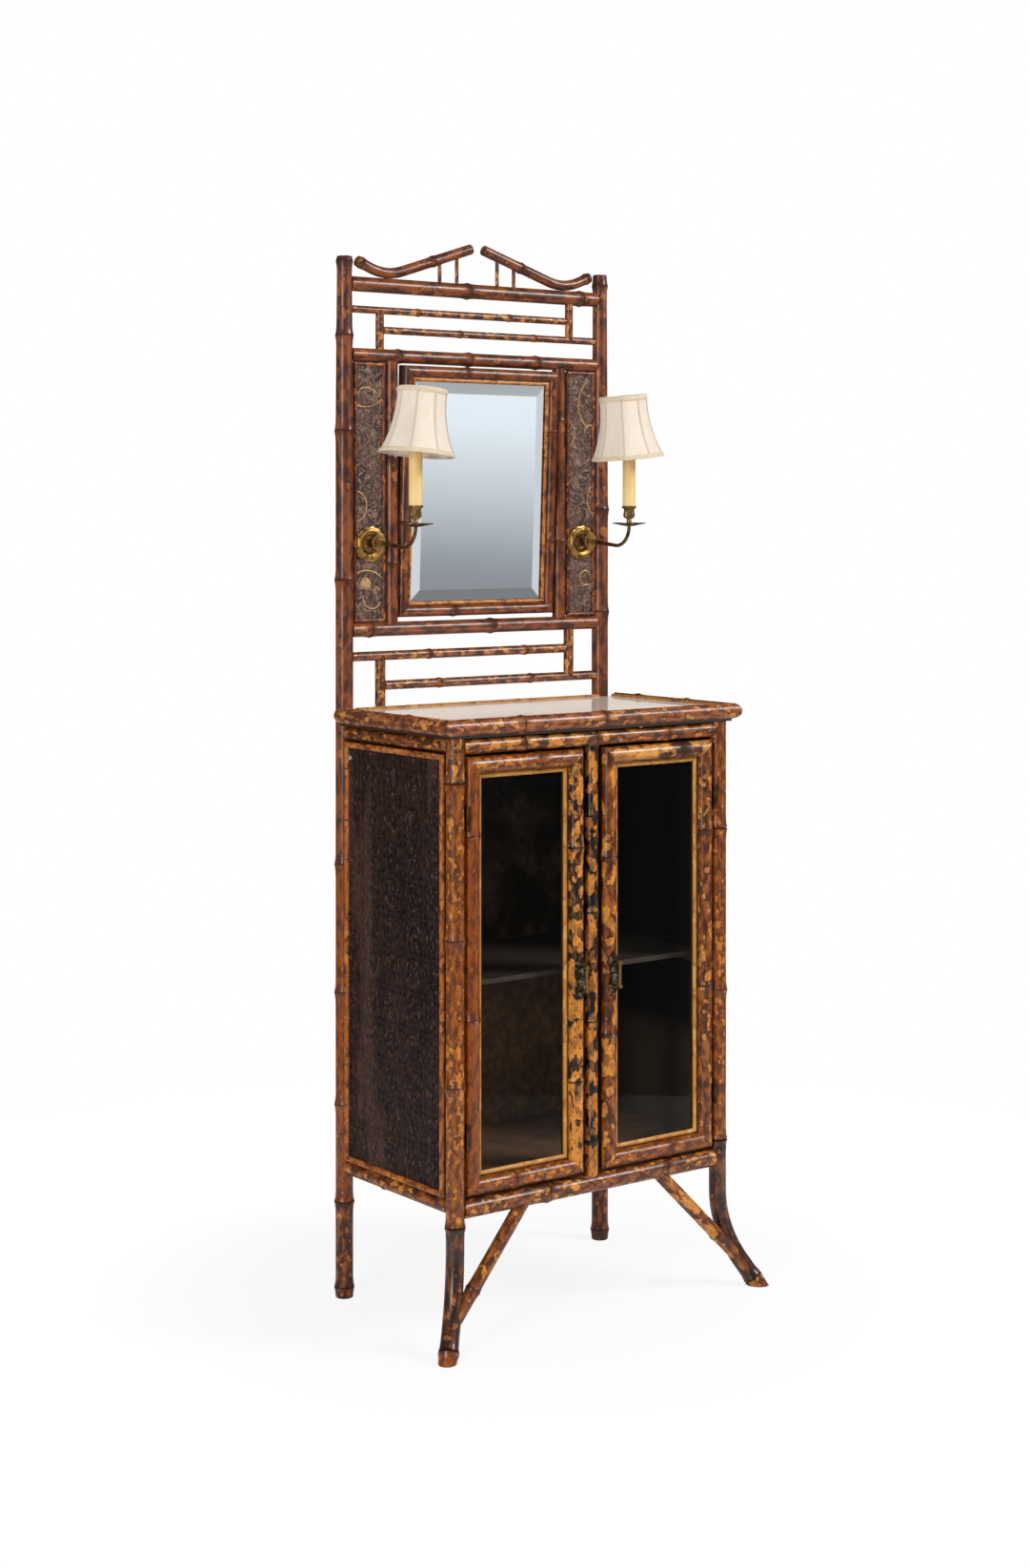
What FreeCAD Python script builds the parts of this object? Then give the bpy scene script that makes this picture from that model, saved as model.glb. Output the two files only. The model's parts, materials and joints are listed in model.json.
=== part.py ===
"""Bamboo hall cabinet: glazed cupboard below, swing mirror with two candle sconces above.

Millimetres. +X is the viewer's right, -Y is the front, +Z is up.
The origin is on the floor, under the middle of the cabinet's box.
"""
import FreeCAD, Part
import math
import os

from FreeCAD import Placement, Rotation, Vector

# General fits
FIT = 0.15                  # glue gap between pieces that meet
PIVOT_FIT = 0.05            # running clearance round a pin
MOVE_GAP = 0.4              # clearance beside a surface that moves

# Bamboo joints
JOINT_SWELL = 0.17          # how far a joint stands proud, as a share of its cane's radius
JOINT_FLARE = 0.50          # half the length of that swelling, as a share of the radius
PEG_R = 5.0                 # peg on the end of a rail
PEG_DEPTH = 8.0             # how deep the peg goes into its post

# Posts
POST_SPACING_X = 545.0
POST_SPACING_Y = 317.5
POST_R = 14.6
POST_HEIGHT = 1730.0
POST_TIP_R = 12.5
POST_TAPER = 260.0          # length of the taper at the top
POST_DOME = 3.0
LEFT_REAR_JOINTS = (18.0, 160.0, 321.0, 507.0, 720.0, 1192.0, 1440.0, 1599.0)
RIGHT_REAR_JOINTS = (18.0, 170.0, 340.0, 530.0, 745.0, 1127.0, 1310.0, 1711.0)
LEFT_FRONT_JOINTS = (190.0, 407.0, 636.0, 881.0)
RIGHT_FRONT_JOINTS = (245.0, 498.0, 771.0)

# Splayed front feet
SPLAY_ANGLE = 36.0
SPLAY_BEND_R = 200.0
FOOT_RUN = 52.0             # straight length below the bend
FOOT_JOINT = 16.0           # joint ring above the floor, along the foot

# Base rails and braces
BOTTOM_RAIL_Z = 214.0
FRONT_BOTTOM_RAIL_R = 14.5
TOP_RAIL_Z = 937.0
FRONT_TOP_RAIL_R = 12.0
SIDE_RAIL_R = 11.0
BRACE_R = 11.0
BRACE_TOP_X = 134.0
BRACE_FOOT_Z = 44.0
BATTEN = 20.0               # square rear battens

# Table top
BOARD_THICK = 24.0
BOARD_SIDE_OVERHANG = 19.5
BOARD_FRONT_OVERHANG = 14.5
NOSING_R = 13.0
NOSING_LIP = 4.0            # nosing above the board's face
TOP_BEAD = 8.0

# Cabinet panels
SIDE_PANEL_THICK = 8.0
SIDE_PANEL_OUT = 8.5        # outer face, outside the post axis
SIDE_BEAD = 10.0
BACK_PANEL_THICK = 5.0
FLOOR_THICK = 10.0
LIP_THICK = 8.0             # strip under the floor's front edge
SHELF_THICK = 8.0
SHELF_TOP_Z = 559.0
SHELF_FRONT = 42.0          # shelf edge behind the front post axis
BEARER = 12.0

# Doors
DOOR_POST_GAP = 2.5
DOOR_RAIL_GAP = 2.5
CENTRE_POST_R = 11.0
DOOR_CENTRE_GAP = 10.0      # between the centre post and each door
DOOR_STILE = 27.0
DOOR_WOOD = 12.0            # thickness of the softwood frame
DOOR_LIP = 6.0              # rebate lip behind the glass
DOOR_LIP_THICK = 5.0
GLASS_THICK = 3.0
DOOR_BEAD = 8.0
STOP_WIDTH = 76.0
STOP_THICK = 8.0

# Door hinges
HINGE_Y = -12.0             # pin ahead of the front post axis
HINGE_PIN_R = 1.2
HINGE_KNUCKLE_R = 2.6
HINGE_LENGTH = 40.0
HINGE_LEAF = 0.9
HINGE_LEAF_WIDTH = 18.0
HINGE_INSET = 95.0          # hinge centre from the door's end

# Door pulls
PULL_Z = 553.0
PULL_PLATE = 2.0
PULL_BODY_WIDTH = 15.0
PULL_BODY_HEIGHT = 44.0
PULL_LOBE_R = 11.0
PULL_LOBE_OUT = 19.0        # lobe centre from the middle
PULL_TIP_R = 5.5
PULL_TIP_OUT = 29.5
PULL_REACH = 17.0           # bar in front of the plate
PULL_BAR_R = 2.3
PULL_ARM_R = 3.0

# Mirror frame and gallery
LOWER_CROSS_Z = 1107.5
LOWER_CROSS_R = 12.0
UPPER_CROSS_DROP = 163.0    # drops are measured from the tops of the rear posts
UPPER_CROSS_R = 11.3
CREST_DROP = 45.0
CREST_R = 12.6
STILE_X = 179.0
STILE_R = 11.5
MIRROR_SIDE_GAP = 2.5       # mirror frame to the stiles
MIRROR_TOP_GAP = 3.2        # mirror frame to the cross rails
MIRROR_FOOT_GAP = 7.0
MIRROR_MOULD = 19.0
MIRROR_BEAD = 7.0
MIRROR_TRAY = 12.0
MIRROR_GLASS = 4.0
MIRROR_COVER = 5.0          # glass behind the bead
MIRROR_BEVEL = 24.0
MIRROR_BEVEL_DROP = 2.0
MIRROR_REST_TILT = 2.4      # top leans forward
PIVOT_R = 3.0
PIVOT_COLLAR_R = 5.5
PIVOT_DEPTH = 8.0
WING_THICK = 6.0
WING_BEAD = 7.0

# Frets
UPPER_FRET_HIGH_DROP = 87.0
UPPER_FRET_LOW_DROP = 120.0
UPPER_FRET_R = 6.2
UPPER_UPRIGHT_X = 202.0
UPPER_UPRIGHT_R = 7.2
LOWER_FRET_HIGH = 1063.0
LOWER_FRET_LOW = 1013.0
LOWER_FRET_R = 7.9
LOWER_UPRIGHT_X = 201.0
LOWER_UPRIGHT_R = 8.8

# Crest
SCROLL_R = 9.0
SCROLL_INNER_X = 13.0
SCROLL_RISE = 73.0          # inner tip above the crest rail
SCROLL_INNER_SLOPE = 18.0
SCROLL_OUTER_X = 248.0
SCROLL_OUTER_SLOPE = 22.0
SCROLL_BEND_R = 95.0
SPINDLE_R = 3.3
SPINDLE_X = (43.0, 79.0)

# Sconces
SCONCE_Z = 1251.0
CANDLE_FORWARD = 140.0      # candle axis ahead of the post axis
PLATE_R = 31.0
PLATE_ROOT_R = 28.5
PLATE_LOBES = 14
PLATE_THICK = 2.0
PLATE_RING_R = 23.0
PLATE_RING_HEIGHT = 5.0
PLATE_DOME_R = 16.0
PLATE_DOME_HEIGHT = 12.0
ARM_DROOP = 6.0
ARM_BEND_R = 34.0
ARM_RISE = 29.0
ARM_ROOT_R = 4.4
ARM_R = 3.0
PETAL_R = 13.0
PETAL_LENGTH = 15.0
PETAL_WALL = 1.6
PAN_R = 29.0
PAN_ROOT_R = 26.5
PAN_LOBES = 6
PAN_WALL = 1.5
PAN_HUB_R = 6.0
PAN_HUB_HEIGHT = 6.0
PAN_RIM_RISE = 5.0
CUP_HEIGHT = 29.0
CUP_STEM_R = 4.5
CUP_BELLY_R = 9.6
CUP_WAIST_R = 8.6
CUP_LIP_R = 12.8
CUP_SEAT = 3.0
SLEEVE_R = 11.2
SLEEVE_WALL = 1.2
SLEEVE_LENGTH = 90.0
HOLDER_R = 9.7
HOLDER_SHORT = 10.0         # holder below the sleeve's top
HOLDER_RECESS_R = 8.9
HOLDER_RECESS = 18.0
BULB_CAP_R = 6.4
BULB_NECK = 3.0             # cap above the sleeve's top
BULB_R = 12.5
BULB_BELLY = 26.0           # widest point above the cap
BULB_GLASS = 62.0           # height of the glass above the cap

# Candle shades, measured up the leaning lamp axis from the bulb's foot
SHADE_LEAN = 6.0
SHADE_BOTTOM = 24.0
SHADE_HEIGHT = 109.0
SHADE_BOTTOM_R = 64.5       # radii along a rib
SHADE_WAIST_R = 46.0
SHADE_WAIST = 0.52          # waist height as a share of the shade's height
SHADE_TOP_R = 43.0
SHADE_CLOTH = 1.0
SHADE_TAPE = 8.0
SHADE_TAPE_THICK = 1.2
SHADE_WIRE = 1.8            # square wire of the frame
SHADE_RIBS = 8
SHADE_STEPS = 6             # straight runs along a rib
CLIP_R = 9.0
CLIP_SEAT = 0.9             # where the clip's loops bear, as a share of the bulb's radius


def swollen(radius):
    """Radius of a cane at one of its joints."""
    return radius * (1 + JOINT_SWELL)


# Values worked out from those above
SIDES = {"left": -1, "right": 1}
POST_TAPER_START = POST_HEIGHT - POST_TAPER
UPPER_CROSS_Z = POST_HEIGHT - UPPER_CROSS_DROP
UPPER_FRET_HIGH = POST_HEIGHT - UPPER_FRET_HIGH_DROP
UPPER_FRET_LOW = POST_HEIGHT - UPPER_FRET_LOW_DROP
CREST_Z = POST_HEIGHT - CREST_DROP
SCROLL_INNER_Z = CREST_Z + SCROLL_RISE
MIRROR_WIDTH = 2 * (STILE_X - STILE_R - MIRROR_SIDE_GAP)
MIRROR_BOTTOM = LOWER_CROSS_Z + LOWER_CROSS_R + MIRROR_FOOT_GAP
MIRROR_HEIGHT = UPPER_CROSS_Z - UPPER_CROSS_R - MIRROR_TOP_GAP - MIRROR_BOTTOM
MIRROR_PIVOT_Z = MIRROR_BOTTOM + MIRROR_HEIGHT / 2
HALF_X = POST_SPACING_X / 2
SPLAY = math.radians(SPLAY_ANGLE)
BEND_Z = SPLAY_BEND_R * math.sin(SPLAY) + FOOT_RUN * math.cos(SPLAY)
FOOT_REACH = SPLAY_BEND_R * (1 - math.cos(SPLAY)) + FOOT_RUN * math.sin(SPLAY)
FOOT_SPREAD = FOOT_REACH / math.sqrt(2)
FOOT_HALF = POST_R * math.sqrt((1 / math.cos(SPLAY) ** 2 + 1) / 2)
POST_OUT = swollen(POST_R)
DEPTH = POST_SPACING_Y + FOOT_SPREAD + FOOT_HALF + POST_OUT
REAR_Y = DEPTH / 2 - POST_OUT
FRONT_Y = REAR_Y - POST_SPACING_Y
BASE_TOP = BOTTOM_RAIL_Z + FRONT_BOTTOM_RAIL_R
SIDE_BOTTOM_Z = BASE_TOP - SIDE_RAIL_R
RAIL_TOP = TOP_RAIL_Z + FRONT_TOP_RAIL_R
SIDE_TOP_Z = RAIL_TOP - SIDE_RAIL_R
BOARD_BOTTOM = TOP_RAIL_Z + swollen(FRONT_TOP_RAIL_R) + FIT
BOARD_TOP = BOARD_BOTTOM + BOARD_THICK
BOARD_X = HALF_X + BOARD_SIDE_OVERHANG
BOARD_FRONT = FRONT_Y - BOARD_FRONT_OVERHANG
BOARD_REAR = REAR_Y + BATTEN / 2
NOSING_Z = BOARD_TOP + NOSING_LIP - NOSING_R
NOTCH_Y = REAR_Y - POST_OUT - FIT
FLOOR_BOTTOM = BOTTOM_RAIL_Z + swollen(FRONT_BOTTOM_RAIL_R) + FIT
FLOOR_TOP = FLOOR_BOTTOM + FLOOR_THICK
LIP_Y = FRONT_Y + swollen(FRONT_BOTTOM_RAIL_R) + FIT
PANEL_OUT_X = HALF_X + SIDE_PANEL_OUT
PANEL_IN_X = PANEL_OUT_X - SIDE_PANEL_THICK
PANEL_TOP = SIDE_TOP_Z - swollen(SIDE_RAIL_R) - FIT
BACK_Y = REAR_Y + BATTEN / 2
DOOR_OUT_X = HALF_X - POST_R - DOOR_POST_GAP
DOOR_IN_X = CENTRE_POST_R + DOOR_CENTRE_GAP
DOOR_BOTTOM = BOTTOM_RAIL_Z + swollen(FRONT_BOTTOM_RAIL_R) + DOOR_RAIL_GAP
DOOR_TOP = TOP_RAIL_Z - swollen(FRONT_TOP_RAIL_R) - DOOR_RAIL_GAP
DOOR_BACK = FRONT_Y + DOOR_WOOD
STOP_Y = DOOR_BACK + MOVE_GAP + swollen(CENTRE_POST_R) - CENTRE_POST_R + FIT
CENTRE_POST_Y = STOP_Y - swollen(CENTRE_POST_R) - FIT
HINGE_X = DOOR_OUT_X + DOOR_POST_GAP / 2
HINGE_AXIS_Y = FRONT_Y + HINGE_Y
HINGE_HEIGHTS = (DOOR_BOTTOM + HINGE_INSET, DOOR_TOP - HINGE_INSET)
PULL_X = DOOR_IN_X + DOOR_STILE / 2
PULL_BACK_Y = FRONT_Y - DOOR_STILE / 2 - FIT
WING_IN_X = STILE_X + swollen(STILE_R) + FIT
WING_OUT_X = HALF_X - POST_R - FIT
WING_BOTTOM = LOWER_CROSS_Z + swollen(LOWER_CROSS_R) + FIT
WING_TOP = UPPER_CROSS_Z - swollen(UPPER_CROSS_R) - FIT
WING_FRONT = REAR_Y - WING_THICK / 2
SCONCE_X = (WING_IN_X + WING_OUT_X) / 2
PLATE_BACK = WING_FRONT - WING_BEAD / 2 - FIT
CANDLE_Y = REAR_Y - CANDLE_FORWARD
ARM_TOP = SCONCE_Z + ARM_RISE
CUP_BOTTOM = ARM_TOP + PAN_HUB_HEIGHT
CUP_TOP = CUP_BOTTOM + CUP_HEIGHT
SLEEVE_BOTTOM = CUP_TOP - CUP_SEAT
SLEEVE_TOP = SLEEVE_BOTTOM + SLEEVE_LENGTH
HOLDER_TOP = SLEEVE_TOP - HOLDER_SHORT
LAMP_Z = HOLDER_TOP - HOLDER_RECESS
BULB_CAP = HOLDER_RECESS + HOLDER_SHORT + BULB_NECK
CLIP_Z = BULB_CAP + BULB_BELLY
SCROLL_LOW_Z = CREST_Z + CREST_R + SCROLL_R + FIT
REAR_BEAD_Y = REAR_Y - swollen(LOWER_UPRIGHT_R) - FIT

# Local frames: across, up and outwards on each face of the cabinet
FACES = {
    "front": Rotation(Vector(1, 0, 0), Vector(0, 0, 1), Vector(0, -1, 0), "XYZ"),
    "left": Rotation(Vector(0, -1, 0), Vector(0, 0, 1), Vector(-1, 0, 0), "XYZ"),
    "right": Rotation(Vector(0, 1, 0), Vector(0, 0, 1), Vector(1, 0, 0), "XYZ"),
    "top": Rotation(),
}
UP = Vector(0, 0, 1)


def along(shape, start, end):
    """Turn a shape built up +Z so that it runs from start towards end."""
    shape.Placement = Placement(start, Rotation(UP, end - start))
    return shape


def stood(shape, origin, face):
    """Move a shape drawn flat, facing +Z, onto one face of the cabinet."""
    shape.Placement = Placement(origin, FACES[face])
    return shape


def face_of(points):
    """Flat face inside a closed row of points."""
    return Part.Face(Part.makePolygon(list(points) + [points[0]]))


def revolved(profile):
    """Solid of revolution about Z from (radius, height) points."""
    section = face_of([Vector(radius, 0, height) for radius, height in profile])
    return section.revolve(Vector(), UP, 360)


def block(low, high):
    """Box between two corners."""
    size = high - low
    return Part.makeBox(size.x, size.y, size.z, low)


def rod(start, end, radius):
    """Plain round bar."""
    return Part.makeCylinder(radius, (end - start).Length, start, end - start)


def radius_at(height, radii):
    """Radius of a tapering cane at a height, from (height, radius) pairs."""
    for (low, low_r), (high, high_r) in zip(radii, radii[1:]):
        if height <= high:
            share = (height - low) / (high - low)
            return low_r + share * (high_r - low_r)
    return radii[-1][1]


def culm(radii, joints):
    """Cane up +Z that swells at each joint."""
    profile = [(height, radius) for height, radius in radii]
    for joint in joints:
        radius = radius_at(joint, radii)
        flare = JOINT_FLARE * radius
        profile.append((joint - flare, radius_at(joint - flare, radii)))
        profile.append((joint, swollen(radius)))
        profile.append((joint + flare, radius_at(joint + flare, radii)))
    outline = [(radius, height) for height, radius in sorted(profile)]
    return revolved([(0, 0)] + outline + [(0, outline[-1][1])])


def pole(start, end, radius, joints=()):
    """Straight cane between two points, with joints at shares of its length."""
    length = (end - start).Length
    cane = culm([(0, radius), (length, radius)], [share * length for share in joints])
    return along(cane, start, end)


def rear_radii():
    """Radius of a rear post up its height."""
    return [
        (0, POST_R),
        (POST_TAPER_START, POST_R),
        (POST_HEIGHT - POST_DOME, POST_TIP_R),
        (POST_HEIGHT, POST_TIP_R - POST_DOME),
    ]


def post_radius(height):
    """Radius of a rear post where a rail meets it."""
    return radius_at(height, rear_radii())


def corner_clearance(side, y):
    """Room for a post inside a board."""
    foot = Vector(side * HALF_X, y, 0)
    return Part.makeCylinder(POST_OUT + FIT, POST_HEIGHT, foot, UP)


def cleared(board, rows=(FRONT_Y, REAR_Y)):
    """Cut the posts of the front or rear row, or both, out of a board."""
    posts = [corner_clearance(side, y) for side in SIDES.values() for y in rows]
    return board.cut(Part.makeCompound(posts))


def peg(axis_point, inward, post_r, radius, extra=0.0):
    """Peg that reaches from inside a rail into its post; extra deepens the socket."""
    tip = axis_point + inward * (post_r - PEG_DEPTH - extra)
    root = axis_point + inward * (post_r + PEG_DEPTH)
    return rod(tip, root, radius)


def pegged_rail(start, end, radius, joints, post_rs):
    """Cane between two post axes, scribed to the posts and pegged into them."""
    run = (end - start).normalize()
    rail = pole(start, end, radius, joints)
    for point, inward, post_r in ((start, run, post_rs[0]), (end, run * -1, post_rs[1])):
        scribe = Part.makeCylinder(post_r + FIT, 4 * radius, point - UP * 2 * radius, UP)
        rail = rail.cut(scribe).fuse(peg(point, inward, post_r, PEG_R))
    return rail


def sockets(axis_point, directions, post_r):
    """Peg holes in a post, one for each rail direction."""
    return [peg(axis_point, way, post_r, PEG_R + FIT, FIT) for way in directions]


def moulding(start, end, width, mitres, joints=()):
    """Half-round strip on the XY plane, to the left of start-end, mitred where asked."""
    run = (end - start).normalize()
    inward = UP.cross(run)
    half = inward * (width / 2)
    cane = pole(start + half, end + half, width / 2, joints)
    inner_start = start + inward * width + run * (width if mitres[0] else 0)
    inner_end = end + inward * width - run * (width if mitres[1] else 0)
    plan = face_of([start, end, inner_end, inner_start])
    return cane.common(plan.extrude(UP * width))


def corners(low, high):
    """Corners of a rectangle on the XY plane, counterclockwise."""
    (left, bottom), (right, top) = low, high
    return [Vector(left, bottom), Vector(right, bottom), Vector(right, top), Vector(left, top)]


def moulded_frame(low, high, width, joints=((), (), (), ())):
    """Four mitred half-rounds round a rectangle: bottom, right, top, left."""
    ring = corners(low, high)
    pairs = zip(ring, ring[1:] + ring[:1], joints)
    return [moulding(start, end, width, (True, True), rings) for start, end, rings in pairs]


def mitred_bars(low, high, profile):
    """Four mitred bars of one section; profile is (inward, height) points."""
    ring = corners(low, high)
    width = max(inward for inward, _ in profile)
    bars = []
    for start, end in zip(ring, ring[1:] + ring[:1]):
        run = (end - start).normalize()
        inward = UP.cross(run)
        section = face_of([start + inward * step + UP * height for step, height in profile])
        plan = face_of([start, end, end + (inward - run) * width, start + (inward + run) * width])
        deep = max(abs(height) for _, height in profile)
        trim = plan.extrude(UP * -deep)
        bars.append(section.extrude(end - start).common(trim))
    return bars


def grouped(shapes):
    """Several separate solids in one node."""
    return Part.makeCompound(list(shapes))


def lobed_disc(lobes, root_r, tip_r, height):
    """Disc with a scalloped edge."""
    step = 2 * math.pi / lobes
    edges = []
    for lobe in range(lobes):
        angles = (lobe * step, (lobe + 0.5) * step, (lobe + 1) * step)
        radii = (root_r, tip_r, root_r)
        ends = [Vector(r * math.cos(a), r * math.sin(a), 0) for r, a in zip(radii, angles)]
        edges.append(Part.Arc(*ends).toShape())
    return Part.Face(Part.Wire(edges)).extrude(UP * height)


def rear_post(side, grown):
    """Plain rear post, grown by a gap where it is used to cut its room in a panel."""
    joints = LEFT_REAR_JOINTS if side < 0 else RIGHT_REAR_JOINTS
    post = culm([(height, radius + grown) for height, radius in rear_radii()], joints)
    post.translate(Vector(side * HALF_X, REAR_Y, 0))
    return post


def rear_posts():
    """Full-height rear posts, bored for the rails' pegs."""
    nodes = {}
    for name, side in SIDES.items():
        foot = Vector(side * HALF_X, REAR_Y, 0)
        inward = Vector(-side, 0, 0)
        forward = Vector(0, -1, 0)
        holes = []
        for height in (SIDE_BOTTOM_Z, SIDE_TOP_Z):
            holes += sockets(foot + UP * height, [forward], POST_R)
        for height in (LOWER_CROSS_Z, UPPER_CROSS_Z, CREST_Z):
            holes += sockets(foot + UP * height, [inward], post_radius(height))
        nodes[name + "_rear_post"] = rear_post(side, 0).cut(Part.makeCompound(holes))
    return nodes


def foot_axis(side, drop):
    """Point on a splayed foot's axis, a length below the end of its bend."""
    across = SPLAY_BEND_R * (1 - math.cos(SPLAY)) + drop * math.sin(SPLAY)
    height = FOOT_RUN * math.cos(SPLAY) - drop * math.cos(SPLAY)
    spread = across / math.sqrt(2)
    return Vector(side * (HALF_X + spread), FRONT_Y - spread, height)


def leg_shape(side, radius, joints=()):
    """Front leg: straight post, bend and splayed foot, cut level with the floor."""
    knee = Vector(side * HALF_X, FRONT_Y, BEND_Z)
    out = Vector(side, -1, 0).normalize()
    straight = culm([(0, radius), (BOARD_BOTTOM - BEND_Z, radius)], [j - BEND_Z for j in joints])
    straight.translate(knee)
    section = Part.Face(Part.Wire(Part.makeCircle(radius, knee, UP)))
    bend = section.revolve(knee + out * SPLAY_BEND_R, out.cross(UP), SPLAY_ANGLE)
    run = FOOT_RUN + 2 * POST_R
    rings = [(FOOT_RUN - FOOT_JOINT) / run] if joints else []
    foot = pole(foot_axis(side, 0), foot_axis(side, run), radius, rings)
    under_floor = block(Vector(-POST_SPACING_X, -POST_SPACING_X, -BEND_Z),
                        Vector(POST_SPACING_X, POST_SPACING_X, 0))
    return straight.fuse([bend, foot]).removeSplitter().cut(under_floor)


def front_legs():
    """Front legs, bored for the rails' pegs."""
    nodes = {}
    for name, side in SIDES.items():
        joints = LEFT_FRONT_JOINTS if side < 0 else RIGHT_FRONT_JOINTS
        axis = Vector(side * HALF_X, FRONT_Y, 0)
        inward = Vector(-side, 0, 0)
        backward = Vector(0, 1, 0)
        holes = []
        for height in (BOTTOM_RAIL_Z, TOP_RAIL_Z):
            holes += sockets(axis + UP * height, [inward], POST_R)
        for height in (SIDE_BOTTOM_Z, SIDE_TOP_Z):
            holes += sockets(axis + UP * height, [backward], POST_R)
        leg = leg_shape(side, POST_R, joints)
        nodes[name + "_front_leg"] = leg.cut(Part.makeCompound(holes))
    return nodes


def leg_braces():
    """Slanting struts from the bottom rail to the splayed feet."""
    braces = []
    for side in SIDES.values():
        top = Vector(side * BRACE_TOP_X, FRONT_Y, BOTTOM_RAIL_Z)
        drop = FOOT_RUN - BRACE_FOOT_Z / math.cos(SPLAY)
        brace = pole(top, foot_axis(side, drop), BRACE_R, (0.72,))
        rail_room = rod(top - Vector(4 * BRACE_R, 0, 0), top + Vector(4 * BRACE_R, 0, 0),
                        swollen(FRONT_BOTTOM_RAIL_R) + FIT)
        brace = brace.cut(rail_room).cut(leg_shape(side, POST_R + FIT))
        braces.append(max(brace.Solids, key=lambda solid: solid.Volume))
    return {"front_leg_braces": grouped(braces)}


def base_rails():
    """Front and side rails of the cupboard, and the plain battens at the back."""
    radii = (POST_R, POST_R)

    def front(height, radius, joints):
        start = Vector(-HALF_X, FRONT_Y, height)
        return pegged_rail(start, Vector(HALF_X, FRONT_Y, height), radius, joints, radii)

    across = Vector(HALF_X, 0, 0)
    front_room = Part.makeCompound([
        rod(Vector(0, FRONT_Y, height) - across, Vector(0, FRONT_Y, height) + across, radius + FIT)
        for height, radius in ((BOTTOM_RAIL_Z, FRONT_BOTTOM_RAIL_R), (TOP_RAIL_Z, FRONT_TOP_RAIL_R))
    ])
    side_rails = []
    for side in SIDES.values():
        for height, joints in ((SIDE_BOTTOM_Z, (0.62,)), (SIDE_TOP_Z, (0.38,))):
            start = Vector(side * HALF_X, FRONT_Y, height)
            end = Vector(side * HALF_X, REAR_Y, height)
            side_rails.append(pegged_rail(start, end, SIDE_RAIL_R, joints, radii).cut(front_room))
    battens = []
    for height in (BASE_TOP - BATTEN, RAIL_TOP - BATTEN):
        low = Vector(-HALF_X, REAR_Y - BATTEN / 2, height)
        high = Vector(HALF_X, BACK_Y, height + BATTEN)
        battens.append(cleared(block(low, high)))
    return {
        "front_top_rail": front(TOP_RAIL_Z, FRONT_TOP_RAIL_R, (0.226, 0.506, 0.8)),
        "front_bottom_rail": front(BOTTOM_RAIL_Z, FRONT_BOTTOM_RAIL_R, (0.318, 0.788)),
        "side_rails": grouped(side_rails),
        "rear_battens": grouped(battens),
    }


def carcass_boards():
    """Side panels, back, floor, shelf on its bearers, and the strip the doors close on."""
    nodes = {}
    beads = []
    for name, side in SIDES.items():
        xs = sorted((side * PANEL_IN_X, side * PANEL_OUT_X))
        low = Vector(xs[0], FRONT_Y, FLOOR_BOTTOM)
        high = Vector(xs[1], REAR_Y, PANEL_TOP)
        nodes[name + "_side_panel"] = cleared(block(low, high))
        across = sorted(side * y for y in (FRONT_Y + POST_OUT, REAR_Y - POST_OUT))
        for bead in moulded_frame((across[0], FLOOR_BOTTOM), (across[1], PANEL_TOP), SIDE_BEAD):
            beads.append(stood(bead, Vector(side * PANEL_OUT_X, 0, 0), name))
    nodes["side_panel_beads"] = grouped(beads)
    nodes["back_panel"] = cleared(block(
        Vector(-HALF_X, BACK_Y, BASE_TOP - BATTEN),
        Vector(HALF_X, BACK_Y + BACK_PANEL_THICK, RAIL_TOP)))
    inside = PANEL_IN_X - FIT
    board = block(Vector(-inside, STOP_Y, FLOOR_BOTTOM), Vector(inside, BACK_Y, FLOOR_TOP))
    lip_x = HALF_X - swollen(SIDE_RAIL_R) - FIT
    lip = block(Vector(-lip_x, LIP_Y, BOTTOM_RAIL_Z), Vector(lip_x, LIP_Y + LIP_THICK, FLOOR_TOP))
    nodes["cabinet_floor"] = cleared(board.fuse(lip).removeSplitter())
    shelf_y = FRONT_Y + SHELF_FRONT
    nodes["shelf"] = cleared(block(
        Vector(-inside, shelf_y, SHELF_TOP_Z - SHELF_THICK), Vector(inside, BACK_Y, SHELF_TOP_Z)))
    bearers = []
    for side in SIDES.values():
        xs = sorted((side * inside, side * (inside - BEARER)))
        low = Vector(xs[0], shelf_y, SHELF_TOP_Z - SHELF_THICK - BEARER)
        high = Vector(xs[1], REAR_Y - POST_OUT - FIT, SHELF_TOP_Z - SHELF_THICK)
        bearers.append(block(low, high))
    nodes["shelf_bearers"] = grouped(bearers)
    nodes["door_stop"] = block(
        Vector(-STOP_WIDTH / 2, STOP_Y, FLOOR_TOP),
        Vector(STOP_WIDTH / 2, STOP_Y + STOP_THICK, BOARD_BOTTOM))
    return nodes


def centre_post():
    """Cane between the two doors, scribed over the front rails."""
    start = Vector(0, CENTRE_POST_Y, BOTTOM_RAIL_Z)
    end = Vector(0, CENTRE_POST_Y, TOP_RAIL_Z)
    post = pole(start, end, CENTRE_POST_R, (0.087, 0.36, 0.61, 0.832))
    reach = Vector(4 * CENTRE_POST_R, 0, 0)
    rooms = ((BOTTOM_RAIL_Z, FRONT_BOTTOM_RAIL_R + FIT), (TOP_RAIL_Z, swollen(FRONT_TOP_RAIL_R) + FIT))
    for height, radius in rooms:
        middle = Vector(0, FRONT_Y, height)
        post = post.cut(rod(middle - reach, middle + reach, radius))
    solid = max(post.Solids, key=lambda piece: piece.Volume)
    return {"centre_post": solid}


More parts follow.
